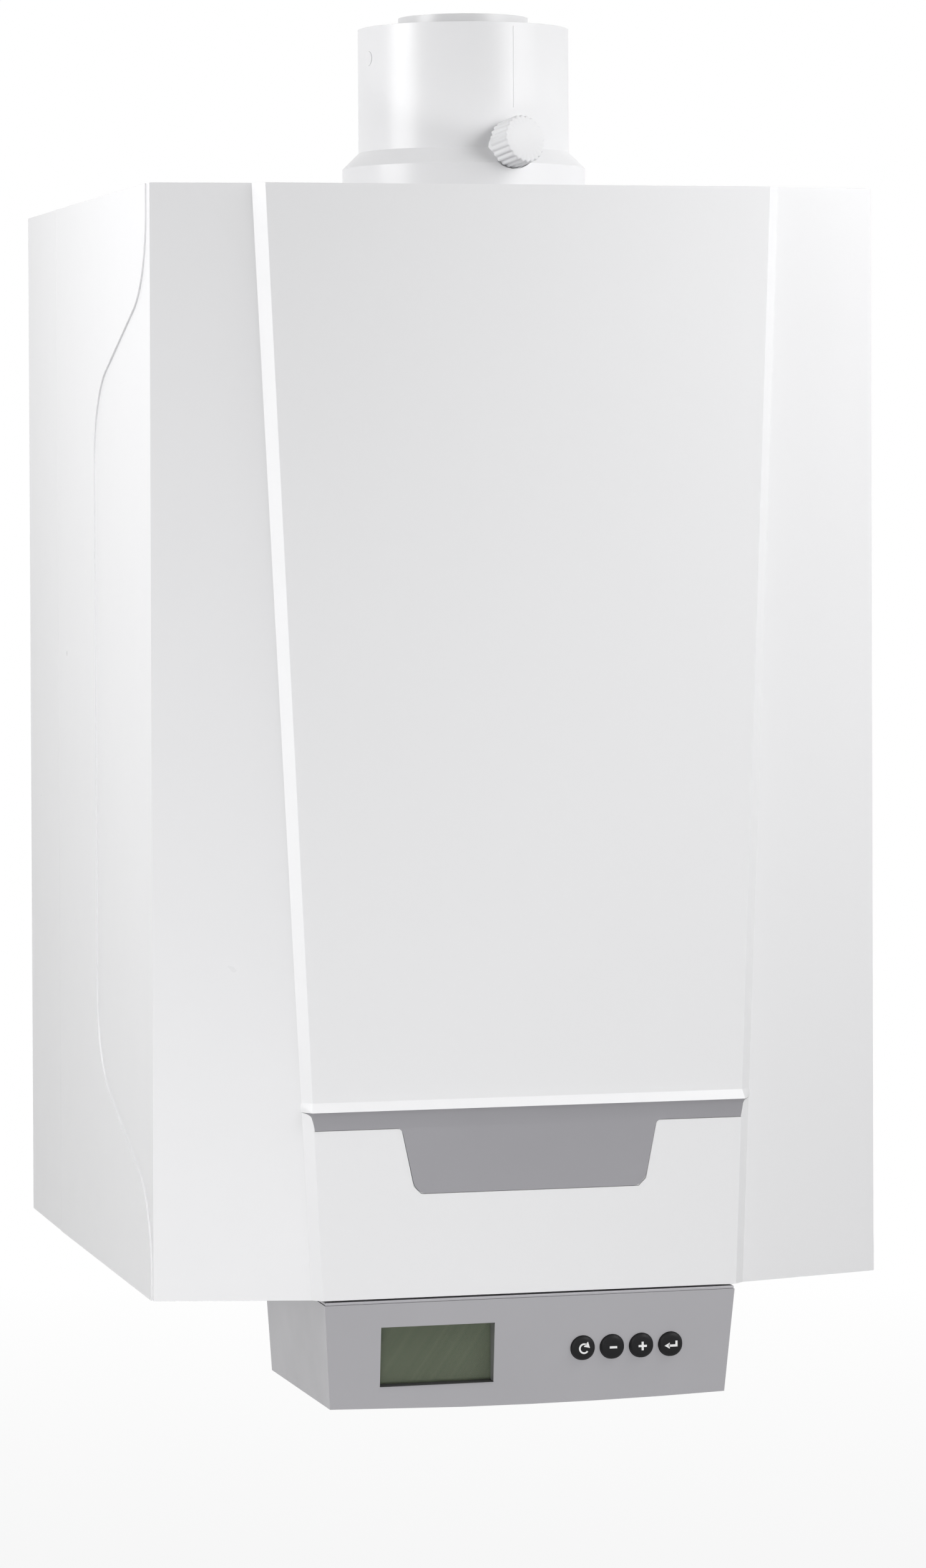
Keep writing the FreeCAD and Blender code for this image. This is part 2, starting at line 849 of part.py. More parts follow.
def on_port(item, start, right="0", up="0"):
    """Sets an item on the port's axis, which leans up and passes beside the flue's own axis."""
    item.Placement.Rotation = port_turn
    across = f"(({right}) - sampling_offset)"
    along = f"(({start}) * cos(sampling_tilt) - ({up}) * sin(sampling_tilt))"
    return put(
        item,
        (
            f"sin(sampling_angle) * {along} + cos(sampling_angle) * {across}",
            f"flue_y - cos(sampling_angle) * {along} + sin(sampling_angle) * {across}",
            f"casing_top + sampling_height + ({start}) * sin(sampling_tilt) + ({up}) * cos(sampling_tilt)",
        ),
    )


notch = port_rod("cap_radius + 1", "cap_start - 0.6", "40")
flue_room = rod("flue_outer_radius + 0.5", flue_at, "flue_socket_height")
nipple = cut(port_rod("nipple_radius", "20", "nipple_end - 20"), flue_room)
nipple_hole = port_rod("nipple_bore", "20", "nipple_end")
piece("flue_air_socket", cut(join(cut(air_form, notch), ring, *spokes, nipple), nipple_hole))
flue_form = turned(
    [
        ("flue_throat_radius", "-spigot_drop"),
        ("spigot_radius", "-spigot_drop"),
        ("spigot_radius", "10"),
        ("flue_outer_radius", "10"),
        ("flue_outer_radius", "flue_socket_height"),
        ("flue_bore_radius", "flue_socket_height"),
        ("flue_bore_radius", f"{flue_groove} + seal_height"),
        ("flue_bore_radius + seal_depth", f"{flue_groove} + seal_height"),
        ("flue_bore_radius + seal_depth", flue_groove),
        ("flue_bore_radius", flue_groove),
        ("flue_bore_radius", "flue_socket_height - flue_socket_length"),
        ("flue_throat_radius", "flue_socket_height - flue_socket_length"),
    ],
    flue_at,
)
flue_flange = turned(
    [
        ("flue_outer_radius - 2", ring_high),
        ("flue_outer_radius + 3.4", ring_high),
        ("flue_outer_radius + 3.4", f"{ring_high} + 3"),
        ("flue_outer_radius - 2", f"{ring_high} + 3"),
    ],
    flue_at,
)
open_flange = cut(flue_flange, port_rod("nipple_radius + 0.5", "20", "40"))
piece("flue_socket", cut(join(flue_form, open_flange), port_rod("nipple_bore - 1", "20", "60")))


def seal(inner, low):
    return turned(
        [
            (f"{inner} + 0.3", f"{low} + 0.3"),
            (f"{inner} + seal_depth - 0.3", f"{low} + 0.3"),
            (f"{inner} + seal_depth - 0.3", f"{low} + seal_height - 0.3"),
            (f"{inner} + 0.3", f"{low} + seal_height - 0.3"),
        ],
        flue_at,
    )


piece("flue_seals", together(seal("air_bore_radius", air_groove), seal("flue_bore_radius", flue_groove)))
cap_form = port_rod("cap_radius", "cap_start", "cap_length")
cap_bore = port_rod("nipple_radius + 0.4", "cap_start - 1", "nipple_end - cap_start + 1.6")
plug_hole = port_rod("3.05", "cap_start", "cap_length - 2")
flutes = []
for step in range(24):
    angle = step * 15
    flute = doc.addObject("Part::Cylinder", "flute")
    flute.setExpression("Radius", bound("flute_radius"))
    flute.setExpression("Height", bound("cap_length + 2"))
    rim = "(cap_radius + flute_offset)"
    flutes.append(on_port(flute, "cap_start - 1", f"{rim} * cos({angle})", f"{rim} * sin({angle})"))
piece("sampling_cap", cut(cap_form, cap_bore, plug_hole, *flutes))
plug_body = port_rod("nipple_bore - 0.05", "nipple_end - 22", "22")
plug_stem = port_rod("3", "nipple_end - 1", "cap_start + cap_length - nipple_end - 2")
piece("sampling_plug", join(plug_body, plug_stem))

piece(
    "flue_pipe",
    cut(
        rod("flue_pipe_radius", ("0", "flue_y", "collector_high"), "casing_top - 12 - collector_high"),
        rod(
            "flue_pipe_radius - flue_pipe_wall",
            ("0", "flue_y", "collector_high - 5"),
            "exchanger_height + 300",
        ),
    ),
)

# Heat exchanger on two rails, with its inspection plate, and the burner in its chamber.
rails = []
for drop in ("60", "exchanger_height - 60"):
    mid = f"exchanger_high - ({drop})"
    bar = box(
        ("-rail_length / 2", "exchanger_rear", f"{mid} - rail_height / 2"),
        ("rail_length / 2", "web_front", f"{mid} + rail_height / 2"),
    )
    hollow = box(
        ("-rail_length / 2 - 5", "exchanger_rear + sheet", f"{mid} - rail_height / 2 + 8"),
        ("rail_length / 2 + 5", "web_front + 5", f"{mid} + rail_height / 2 - 8"),
    )
    rails.append(cut(bar, hollow))
piece("exchanger_rails", together(*rails))

block = box(
    ("-exchanger_half", "exchanger_front", "exchanger_low"),
    ("exchanger_half", "exchanger_rear", "exchanger_high"),
)
ribs = []
for step in range(6):
    level = f"exchanger_low + 80 + 36 * {step}"
    ribs.append(
        box(
            ("-exchanger_half - 4", "exchanger_front + 20", level),
            ("exchanger_half + 4", "exchanger_rear - 20", f"{level} + 8"),
        )
    )
chamber_low = "exchanger_high - chamber_height"
burner_way = rod("chamber_radius", ("0", "exchanger_y", chamber_low), "chamber_height + 5")
chamber = box(
    ("water_jacket - exchanger_half", "exchanger_front + water_jacket", chamber_low),
    ("exchanger_half - water_jacket", "exchanger_rear - water_jacket", "exchanger_high - water_jacket"),
)
passages = []
pairs = int((places.exchanger_half - size("passage_margin")) / size("passage_pitch"))
for step in range(-pairs, pairs + 1):
    middle = f"passage_pitch * {step}"
    passages.append(
        box(
            (f"{middle} - passage_width / 2", "exchanger_y - passage_reach", "exchanger_low - 5"),
            (f"{middle} + passage_width / 2", "exchanger_y + passage_reach", f"{chamber_low} + 5"),
        )
    )
electrode_y = "exchanger_y - 20"
electrode_z = "exchanger_high - 60"
electrode_bore = rod("7", ("-exchanger_half - 5", electrode_y, electrode_z), "exchanger_half", "X")
piece(
    "heat_exchanger",
    cut(join(block, *ribs), chamber, burner_way, *passages, electrode_bore),
)
hatch_low = "exchanger_low + hatch_base"
hatch_high = f"{hatch_low} + hatch_height"
piece(
    "inspection_seal",
    box(
        ("-hatch_half", "exchanger_front - gasket_thickness", hatch_low),
        ("hatch_half", "exchanger_front", hatch_high),
    ),
)
hatch_face = "exchanger_front - gasket_thickness - hatch_plate"
piece(
    "inspection_plate",
    box(
        ("-hatch_half - hatch_border", hatch_face, f"{hatch_low} - hatch_border"),
        ("hatch_half + hatch_border", "exchanger_front - gasket_thickness", f"{hatch_high} + hatch_border"),
    ),
)
hatch_bolts = []
for x in ("bolt_inset - hatch_half", "hatch_half - bolt_inset"):
    for z in (f"{hatch_low} + bolt_inset", f"{hatch_low} + hatch_height / 2", f"{hatch_high} - bolt_inset"):
        hatch_bolts.append(hexagon("bolt_radius", (x, f"{hatch_face} - bolt_head", z), "bolt_head", "Y"))
piece("inspection_bolts", together(*hatch_bolts))

burner_at = ("0", "exchanger_y", "0")


def disc(radius, bore, low, thick):
    high = f"{low} + {thick}"
    return turned([(bore, low), (radius, low), (radius, high), (bore, high)], burner_at)


piece("burner_gasket", disc("burner_flange_radius", "chamber_radius", "exchanger_high", "gasket_thickness"))
tube_end = "burner_seat - burner_length"
piece(
    "burner",
    turned(
        [
            ("burner_radius - 1.5", "burner_seat + 3"),
            ("burner_flange_radius", "burner_seat + 3"),
            ("burner_flange_radius", "burner_seat"),
            ("burner_radius", "burner_seat"),
            ("burner_radius", tube_end),
            ("0", tube_end),
            ("0", f"{tube_end} + 1.5"),
            ("burner_radius - 1.5", f"{tube_end} + 1.5"),
        ],
        burner_at,
    ),
)
bolts = []
for step in range(6):
    place = (
        f"(burner_flange_radius - 9) * cos({60 * step + 30})",
        f"exchanger_y + (burner_flange_radius - 9) * sin({60 * step + 30})",
        "mixing_seat + 8",
    )
    bolts.append(hexagon("bolt_radius", place, "bolt_head"))
piece("burner_bolts", together(*bolts))
electrode_plate = box(
    ("-exchanger_half - 4", f"{electrode_y} - 16", f"{electrode_z} - 16"),
    ("-exchanger_half", f"{electrode_y} + 16", f"{electrode_z} + 16"),
)
ceramic = rod("5", ("-exchanger_half - 15", electrode_y, electrode_z), "exchanger_half - 31", "X")
tip = rod("1.2", ("-60", electrode_y, electrode_z), "20", "X")
piece("ignition_electrode", join(electrode_plate, ceramic, tip))

# Mixing tube from the fan, the fan itself, and the venturi, silencer and gas valve below it.
flange_x = "mixing_bend - fan_x + fan_radius - 18"
tube_path = [
    (("0", "exchanger_y", "mixing_seat"), UP, False),
    (("0", "exchanger_y", "mixing_axis"), LEFT, True),
    ((flange_x, "exchanger_y", "mixing_axis"), LEFT, False),
]
mixing_outer = pipe(tube_path, "mixing_radius", "mixing_bend")
mixing_inner = pipe(
    [
        (("0", "exchanger_y", "mixing_seat - 5"), UP, False),
        (("0", "exchanger_y", "mixing_axis"), LEFT, True),
        ((f"{flange_x} - 10", "exchanger_y", "mixing_axis"), LEFT, False),
    ],
    "mixing_radius - mixing_wall",
    "mixing_bend",
)
foot = rod("burner_flange_radius", ("0", "exchanger_y", "mixing_seat"), "8")
mouth = rod("mixing_radius + 8", (flange_x, "exchanger_y", "mixing_axis"), "6", "X")
piece("mixing_tube", cut(join(foot, mouth, *mixing_outer), *mixing_inner))

fan_at = ("-fan_x", "fan_y", "0")
scroll = rod("fan_radius", ("-fan_x", "fan_y", "fan_low"), "fan_height")
spout = rod("fan_height / 2 - 2", ("-fan_x", "exchanger_y", "mixing_axis"), f"{flange_x} + fan_x", "X")
spout_rim = rod("mixing_radius + 8", (f"{flange_x} - 6", "exchanger_y", "mixing_axis"), "6", "X")
scroll_height = "fan_height - 2 * fan_wall"
scroll_bore = rod("fan_radius - fan_wall", ("-fan_x", "fan_y", "fan_low + fan_wall"), scroll_height)
spout_bore = rod("fan_height / 2 - 5", ("-fan_x", "exchanger_y", "mixing_axis"), "200", "X")
eye = rod("throat_radius + 8", ("-fan_x", "fan_y", "fan_low - 5"), "15")
shaft_hole = rod("shaft_radius + shaft_clearance", ("-fan_x", "fan_y", "fan_high - 10"), "20")
piece("fan_housing", cut(join(scroll, spout, spout_rim), scroll_bore, spout_bore, eye, shaft_hole))
wheel_low = "mixing_axis - impeller_height / 2"
hub = rod("9", ("-fan_x", "fan_y", f"{wheel_low} + 8"), "impeller_height - 8")
back_disc = rod("impeller_radius", ("-fan_x", "fan_y", f"{wheel_low} + impeller_height - 2"), "2")
shaft = rod("shaft_radius", ("-fan_x", "fan_y", "mixing_axis"), "fan_height / 2 + 25")
blades = []
for step in range(12):
    blade = doc.addObject("Part::Box", "blade")
    blade.Width = 1.6
    blade.setExpression("Length", bound("impeller_radius - throat_radius - 8"))
    blade.setExpression("Height", bound("impeller_height"))
    blade.Placement.Rotation = FreeCAD.Rotation(AXES["Z"], 30 * step + 30)
    arm = "throat_radius + 6"
    blades.append(
        put(
            blade,
            (
                f"({arm}) * cos({30 * step}) - fan_x",
                f"({arm}) * sin({30 * step}) + fan_y",
                wheel_low,
            ),
        )
    )
piece("fan_impeller", join(hub, back_disc, shaft, *blades))
motor = rod("motor_radius", ("-fan_x", "fan_y", "fan_high"), "motor_height")
socket = box(
    ("-fan_x - 10", "fan_y - motor_radius - 13", "fan_high + 13"),
    ("10 - fan_x", "fan_y - motor_radius + 10", "fan_high + 33"),
)
motor_bore = rod("shaft_radius + shaft_clearance", ("-fan_x", "fan_y", "fan_high - 5"), "32")
piece("fan_motor", cut(join(motor, socket), motor_bore))
venturi_form = turned(
    [
        ("throat_radius + 8", "fan_low"),
        ("venturi_radius", "fan_low"),
        ("venturi_radius", "venturi_low"),
        ("throat_radius + 10", "venturi_low"),
        ("throat_radius", "venturi_low + venturi_height / 2"),
    ],
    fan_at,
)
boss_z = "valve_high - 25"
boss = rod("15", ("-fan_x", "valve_rear", boss_z), "venturi_radius - throat_radius", "Y")
boss_bore = rod("5", ("-fan_x", "valve_rear - 5", boss_z), "venturi_radius", "Y")
piece("venturi", cut(join(venturi_form, boss), boss_bore))
silencer_high = "venturi_low - silencer_neck"
neck = rod("throat_radius + 14", ("-fan_x", "fan_y", silencer_high), "silencer_neck")
tank = box(
    ("-fan_x - silencer_half", "fan_y - silencer_half", f"{silencer_high} - silencer_height"),
    ("silencer_half - fan_x", "fan_y + silencer_half", silencer_high),
)
tank_hollow = box(
    (
        "silencer_wall - fan_x - silencer_half",
        "fan_y - silencer_half + silencer_wall",
        f"{silencer_high} - silencer_height + silencer_wall",
    ),
    (
        "silencer_half - fan_x - silencer_wall",
        "fan_y + silencer_half - silencer_wall",
        f"{silencer_high} - silencer_wall",
    ),
)
neck_bore = rod("throat_radius + 10", ("-fan_x", "fan_y", f"{silencer_high} - 10"), "silencer_neck + 16")
inlet = rod("silencer_inlet", ("-fan_x", "fan_y", f"{silencer_high} - silencer_height - 5"), "20")
piece("air_silencer", cut(join(neck, tank), tank_hollow, neck_bore, inlet))
valve_body = box(
    ("-fan_x - valve_width / 2", "valve_rear - valve_depth", "valve_low"),
    ("valve_width / 2 - fan_x", "valve_rear", "valve_high"),
)
solenoid = rod("14", ("-fan_x - 18", "gas_y - 12", "valve_high"), "30")
setting = rod("6", ("20 - fan_x", "valve_rear - valve_depth - 6", "valve_high - 20"), "6", "Y")
piece("gas_valve", join(valve_body, solenoid, setting))

# Pipes down to the connections under the casing.


def tail(x, y, radius):
    return rod(radius, (x, y, "tail_end"), "tail_length")


gas_line = rod("gas_radius", ("-fan_x", "gas_y", "tail_end"), "valve_low - tail_end")
gas_nut = hexagon("18", ("-fan_x", "gas_y", "valve_low - 14"), "14")
gas_hole = rod("gas_radius - 1.5", ("-fan_x", "gas_y", "tail_end - 5"), "valve_low - tail_end - 15")
piece("gas_pipe", cut(join(gas_line, gas_nut, tail("-fan_x", "gas_y", "gas_tail_radius")), gas_hole))


def water_pipe(x, drop, extras, holes):
    level = f"casing_top - {drop}"
    path = [
        (("exchanger_half", "exchanger_y", level), RIGHT, False),
        ((x, "exchanger_y", level), DOWN, True),
        ((x, "exchanger_y", "tail_end"), DOWN, False),
    ]
    bore_path = [
        (("exchanger_half - 5", "exchanger_y", level), RIGHT, False),
        ((x, "exchanger_y", level), DOWN, True),
        ((x, "exchanger_y", "tail_end - 5"), DOWN, False),
    ]
    rim = rod("water_radius + 10", ("exchanger_half", "exchanger_y", level), "6", "X")
    outer = pipe(path, "water_radius", water_bend_of(x))
    inner = pipe(bore_path, "water_radius - water_wall", water_bend_of(x))
    return cut(join(rim, tail(x, "exchanger_y", "water_tail_radius"), *outer, *extras), *inner, *holes)


def water_bend_of(x):
    return "water_bend" if x == "flow_x" else "water_bend - 8"


vent_x = "exchanger_half + 35"
vent_z = "casing_top - flow_drop"
vent_boss = rod("10", (vent_x, "exchanger_y", vent_z), "water_radius + 6")
vent_hole = rod("6", (vent_x, "exchanger_y", vent_z), "40")
sensor_face = "exchanger_y - water_radius - 5"
sensor_level = "casing_top - flow_drop - 120"
return_level = "casing_top - return_drop - 80"


def sensor_boss(x, level):
    return rod("9", (x, sensor_face, level), "10", "Y")


def sensor_hole(x, level):
    return rod("4.4", (x, f"{sensor_face} - 5", level), "20", "Y")


piece(
    "flow_pipe",
    water_pipe(
        "flow_x",
        "flow_drop",
        [vent_boss, sensor_boss("flow_x", sensor_level), sensor_boss("flow_x", f"{sensor_level} - 70")],
        [vent_hole, sensor_hole("flow_x", sensor_level), sensor_hole("flow_x", f"{sensor_level} - 70")],
    ),
)
piece(
    "return_pipe",
    water_pipe(
        "return_x",
        "return_drop",
        [sensor_boss("return_x", return_level)],
        [sensor_hole("return_x", return_level)],
    ),
)
vent_seat = f"{vent_z} + water_radius + 6"
piece(
    "air_vent",
    join(
        hexagon("13", (vent_x, "exchanger_y", vent_seat), "9"),
        rod("17", (vent_x, "exchanger_y", f"{vent_seat} + 9"), "42"),
        rod("7", (vent_x, "exchanger_y", f"{vent_seat} + 51"), "12"),
    ),
)


def sensor(x, level, length):
    return join(
        rod("4", (x, sensor_face, level), "12", "Y"),
        hexagon("8.5", (x, f"{sensor_face} - 6", level), "6", "Y"),
        rod("6", (x, f"{sensor_face} - {length}", level), f"{length} - 6", "Y"),
    )


piece(
    "temperature_sensors",
    together(sensor("flow_x", sensor_level, "26"), sensor("return_x", return_level, "26")),
)
piece("pressure_sensor", sensor("flow_x", f"{sensor_level} - 70", "40"))

# Condensate collector under the exchanger and the siphon under that.
collector_rear = "exchanger_rear"
collector_front = "exchanger_rear - collector_length"
trough = box(
    ("-exchanger_half", collector_front, "collector_low"),
    ("exchanger_half", collector_rear, "collector_high"),
)
hollow_half = "exchanger_half - collector_wall"
trough_hollow = box(
    (f"-({hollow_half})", f"{collector_front} + collector_wall", "collector_low + collector_wall"),
    (hollow_half, f"{collector_rear} - collector_wall", "collector_high - collector_wall"),
)
mouth_low = "collector_high - 10"
gas_mouth = box(("-60", "exchanger_y - 62", mouth_low), ("60", "exchanger_y + 62", "collector_high + 5"))
cup = rod("flue_pipe_radius + 4", ("0", "flue_y", "collector_high - collector_wall"), "30")
cup_bore = rod("flue_pipe_radius + 0.4", ("0", "flue_y", "collector_high"), "60")
cup_hole = rod("flue_pipe_radius - 4", ("0", "flue_y", mouth_low), "30")
drain_y = "exchanger_y - 60"
drain_hole = rod("10", ("0", drain_y, "collector_low - 5"), "15")
piece(
    "condensate_collector",
    cut(join(cut(trough, trough_hollow, gas_mouth), cup), cup_bore, cup_hole, drain_hole),
)
seal_form = box(
    ("-exchanger_half + 4", "exchanger_front + 4", "collector_high"),
    ("exchanger_half - 4", "exchanger_rear - 4", "exchanger_low"),
)
seal_half = f"passage_pitch * {pairs} + passage_width / 2 + 1"
seal_hole = box(
    (f"-({seal_half})", "exchanger_y - passage_reach - 6", "collector_high - 5"),
    (seal_half, "exchanger_y + passage_reach + 6", "exchanger_low + 5"),
)
piece("collector_seal", cut(seal_form, seal_hole))
siphon_low = "collector_low - siphon_height"
siphon_cup = rod("siphon_radius", ("0", drain_y, siphon_low), "siphon_height")
siphon_hollow = rod("siphon_radius - 3", ("0", drain_y, f"{siphon_low} + 3"), "siphon_height - 6")
siphon_inlet = rod("9", ("0", drain_y, "collector_low - 10"), "20")
siphon_leg = rod("drain_radius - 1", ("0", drain_y, "tail_end"), f"{siphon_low} - tail_end + 1")
siphon_bore = rod("drain_radius - 3", ("0", drain_y, "tail_end - 5"), f"{siphon_low} - tail_end + 12")
siphon_tail = tail("0", drain_y, "drain_radius")
piece("siphon", cut(join(siphon_cup, siphon_leg, siphon_tail), siphon_hollow, siphon_inlet, siphon_bore))


def grommet(x, y, radius, hole):
    plate_top = "base_plate_low + sheet"
    return turned(
        [
            (f"{radius} + 0.35", f"{plate_top} + 4"),
            (f"{hole} + 3", f"{plate_top} + 4"),
            (f"{hole} + 3", plate_top),
            (f"{hole} - 0.4", plate_top),
            (f"{hole} - 0.4", "base_plate_low"),
            (f"{radius} + 0.35", "base_plate_low"),
        ],
        (x, y, "0"),
    )


tubes = ("water_radius", "water_radius", "gas_radius", "drain_radius - 1")
piece(
    "pipe_grommets",
    together(*[grommet(x, y, radius, hole) for (x, y, hole), radius in zip(pipe_holes, tubes)]),
)

# Wiring loom to the fan motor, its clips on the gas pipe, and the cable glands in the bottom plate.
loom_high = "fan_high + 23"
loom_path = [
    (("-fan_x", "loom_y", "base_plate_low - 20"), UP, False),
    (("-fan_x", "loom_y", loom_high), BACK, True),
    (("-fan_x", "fan_y - motor_radius - 13", loom_high), BACK, False),
]
piece("wiring_loom", join(*pipe(loom_path, "loom_radius", "20")))
clips = []
for level in ("valve_low - 150", "valve_low - 380"):
    strap = box(
        ("-fan_x - clip_half", "loom_y - clip_height", level),
        ("clip_half - fan_x", "gas_y + clip_half", f"{level} + clip_height"),
    )
    gas_way = rod("gas_radius + 0.4", ("-fan_x", "gas_y", f"{level} - 5"), "20")
    loom_way = rod("loom_radius + 0.4", ("-fan_x", "loom_y", f"{level} - 5"), "20")
    clips.append(cut(strap, gas_way, loom_way))
piece("loom_clips", together(*clips))
glands = []
for x, y in gland_places:
    stem = rod("gland_radius", (x, y, "base_plate_low - gland_nut"), "gland_nut + sheet + 6")
    nut_top = hexagon("gland_nut", (x, y, "base_plate_low + sheet"), "5")
    nut_low = hexagon("gland_nut", (x, y, "base_plate_low - gland_radius"), "gland_radius")
    way = rod("loom_radius + 0.4", (x, y, "base_plate_low - 20"), "50")
    glands.append(cut(join(stem, nut_top, nut_low), way))
piece("cable_glands", together(*glands))

# Control box under the cover: body, lid, display, keys, boards and the hinge it tilts on.
shell_top = "box_high - lid_thickness"


def box_ring(inset, low, high):
    """A cross section of the control box: it narrows downwards and its underside sags."""
    points = [
        (f"box_top_half - {inset}", high),
        (f"box_bottom_half - {inset}", low),
        (f"0.68 * box_bottom_half - {inset}", f"{low} - 0.55 * box_sag"),
        (f"0.34 * box_bottom_half - {inset}", f"{low} - 0.89 * box_sag"),
        ("0", f"{low} - box_sag"),
    ]
    return points + [(f"-({x})", y) for x, y in reversed(points[:-1])]


def box_form(inset, low, high):
    rear = (box_ring(inset, f"{low} - box_rear_drop", high), f"box_rear_depth + {inset}")
    front = (box_ring(inset, low, high), "box_front_depth")
    return common(lofted("XZ", rear, front), behind_face(inset))


def behind_face(inset):
    """Everything behind the leaning front face of the control box."""
    face_top = f"box_front + {inset} - box_lean * 20 / box_height"
    face_low = f"box_front + {inset} + box_lean * (box_height + 20) / box_height"
    return padded(
        "YZ",
        [
            (face_top, "box_high + 20"),
            (face_low, "box_low - 20"),
            ("box_rear + 20", "box_low - 20"),
            ("box_rear + 20", "box_high + 20"),
        ],
        "2 * box_top_half + 20",
        centred=True,
    )


tray = box_form("0", "box_low", shell_top)
tray_hollow = box_form("box_wall", "box_low + box_wall", "box_high")
screen_left = "-screen_centre - screen_width / 2"
screen_right = "screen_width / 2 - screen_centre"
screen_low = "box_low + screen_base"
screen_high = f"{screen_low} + screen_height"
tunnel = box(
    (f"{screen_left} - 3", "box_front", f"{screen_low} - 3"),
    (f"{screen_right} + 3", "screen_front", f"{screen_high} + 3"),
)
tunnel_way = box((screen_left, "box_front - 5", screen_low), (screen_right, "screen_front + 5", screen_high))
keys = {
    "button_reset": "key_first",
    "button_minus": "key_first + key_pitch",
    "button_plus": "key_first + 2 * key_pitch",
    "button_enter": "key_first + 3 * key_pitch",
}
key_hole = "key_radius + key_clearance"
key_holes = [rod(key_hole, (x, "face_mid - 5", "key_z"), "12", "Y") for x in keys.values()]
board_half = "box_bottom_half - 12"
posts = []
for x in ("17 - box_bottom_half", "box_bottom_half - 17"):
    for z in ("box_low + 12", "box_high - 14"):
        posts.append(rod("post_radius", (x, "box_front", z), "board_front - box_front", "Y"))
card_left = "card_centre - card_half"
card_right = "card_centre + card_half"
board_low = "box_low + box_wall + 8"
post_low = "box_low - box_sag - box_rear_drop"
floor_posts = []
for x in (f"{card_left} + 8", f"{card_right} - 8"):
    for y in ("card_rear - 10", "card_front + 8"):
        floor_posts.append(rod("post_radius", (x, y, post_low), f"{board_low} - ({post_low})"))
under_parts = common(join(*floor_posts), box_form("1", "box_low + 1", "box_high"))
ears = []
for x in ("hinge_sheet - hinge_half", "hinge_half - 2 * hinge_sheet"):
    arm = box((x, "box_rear - 1", "hinge_z - 7"), (f"{x} + hinge_sheet", "hinge_y", "hinge_z + 5"))
    eye_end = rod("hinge_radius + 2", (x, "hinge_y", "hinge_z"), "hinge_sheet", "X")
    ears.append(join(arm, eye_end))
pin_fit = "hinge_radius + shaft_clearance"
pin_holes = rod(pin_fit, ("-hinge_half - 20", "hinge_y", "hinge_z"), "2 * hinge_half + 40", "X")
cable_slot = box(("-20", "box_rear - 10", "box_low + 30"), ("20", "box_rear + 5", "box_low + 42"))
piece(
    "control_box_body",
    cut(
        join(cut(tray, tray_hollow), common(join(tunnel, *posts), behind_face("1")), under_parts, *ears),
        tunnel_way,
        pin_holes,
        cable_slot,
        *key_holes,
    ),
)
piece(
    "control_box_lid",
    box(
        ("0.5 - box_top_half", "box_front + 0.5", shell_top),
        ("box_top_half - 0.5", "box_rear - 0.5", "box_high"),
    ),
)
piece(
    "display_window",
    box(
        (f"{screen_left} - 2.5", "screen_front", f"{screen_low} - 2.5"),
        (f"{screen_right} + 2.5", "screen_front + 2", f"{screen_high} + 2.5"),
    ),
)
piece(
    "lcd_panel",
    box(
        (f"{screen_left} - 2", "screen_front + 2", f"{screen_low} - 2"),
        (f"{screen_right} + 2", "board_front", f"{screen_high} + 2"),
    ),
)
piece(
    "display_board",
    box(
        (f"-({board_half})", "board_front", "box_low + 6"),
        (board_half, "board_front + board_thickness", "box_high - 8"),
    ),
)
switches = []
for x in keys.values():
    case = box((f"{x} - 3", "board_front - 4", "key_z - 3"), (f"{x} + 3", "board_front", "key_z + 3"))
    dot = rod("1.75", (x, "board_front - 5", "key_z"), "2", "Y")
    switches.append(join(case, dot))
piece("key_switches", together(*switches))
flange_start = "key_reach + box_wall + 2.2"
flange_end = f"{flange_start} + 1.4"
for name, x in keys.items():
    stem_end = "board_front - 5 - key_travel - 0.4"
    face = "face_mid - key_reach"
    profile = [
        ("0", "0"),
        ("key_radius - 2.5", "0"),
        ("key_radius - 1", "0.7"),
        ("key_radius", "2.2"),
        ("key_radius", flange_start),
        ("key_radius + 1.6", flange_start),
        ("key_radius + 1.6", flange_end),
        ("2.5", flange_end),
        ("2.5", f"{stem_end} - ({face})"),
        ("0", f"{stem_end} - ({face})"),
    ]
    piece(name, turned(profile, (x, face, "key_z"), TURN["Y"]))
brackets = []
pins = []
bracket_rear = "hinge_y + 16"
right_web = "hinge_half - hinge_sheet"
for x, foot_x in (("-hinge_half", "-hinge_half - 16"), (right_web, right_web)):
    web = box((x, "hinge_y", "hinge_z - hinge_eye"), (f"{x} + hinge_sheet", bracket_rear, "base_plate_low"))
    nose = box((x, "hinge_y - hinge_eye", "hinge_z"), (f"{x} + hinge_sheet", "hinge_y", "base_plate_low"))
    round_end = rod("hinge_eye", (x, "hinge_y", "hinge_z"), "hinge_sheet", "X")
    bracket_base = box(
        (foot_x, "hinge_y - hinge_eye", "base_plate_low - 2"),
        (f"{foot_x} + 20", bracket_rear, "base_plate_low"),
    )
    pin_way = rod(pin_fit, (f"{x} - 5", "hinge_y", "hinge_z"), "20", "X")
    brackets.append(cut(join(web, nose, round_end, bracket_base), pin_way))
for x in ("-hinge_half - 2", "hinge_half - 2 * hinge_sheet - 2"):
    pins.append(rod("hinge_radius", (x, "hinge_y", "hinge_z"), "2 * hinge_sheet + 4", "X"))
piece("hinge_brackets", together(*brackets))
piece("hinge_pins", together(*pins))
card_top = f"{board_low} + board_thickness"
card = box((card_left, "card_front", board_low), (card_right, "card_rear", card_top))


def on_card(left, right, near, far, height):
    """A component on the card; near and far are shares of the card's length from its front edge."""
    return box(
        (f"{card_left} + {left}", f"card_front + card_length * {near}", card_top),
        (f"{card_left} + {right}", f"card_front + card_length * {far}", f"{card_top} + {height}"),
    )


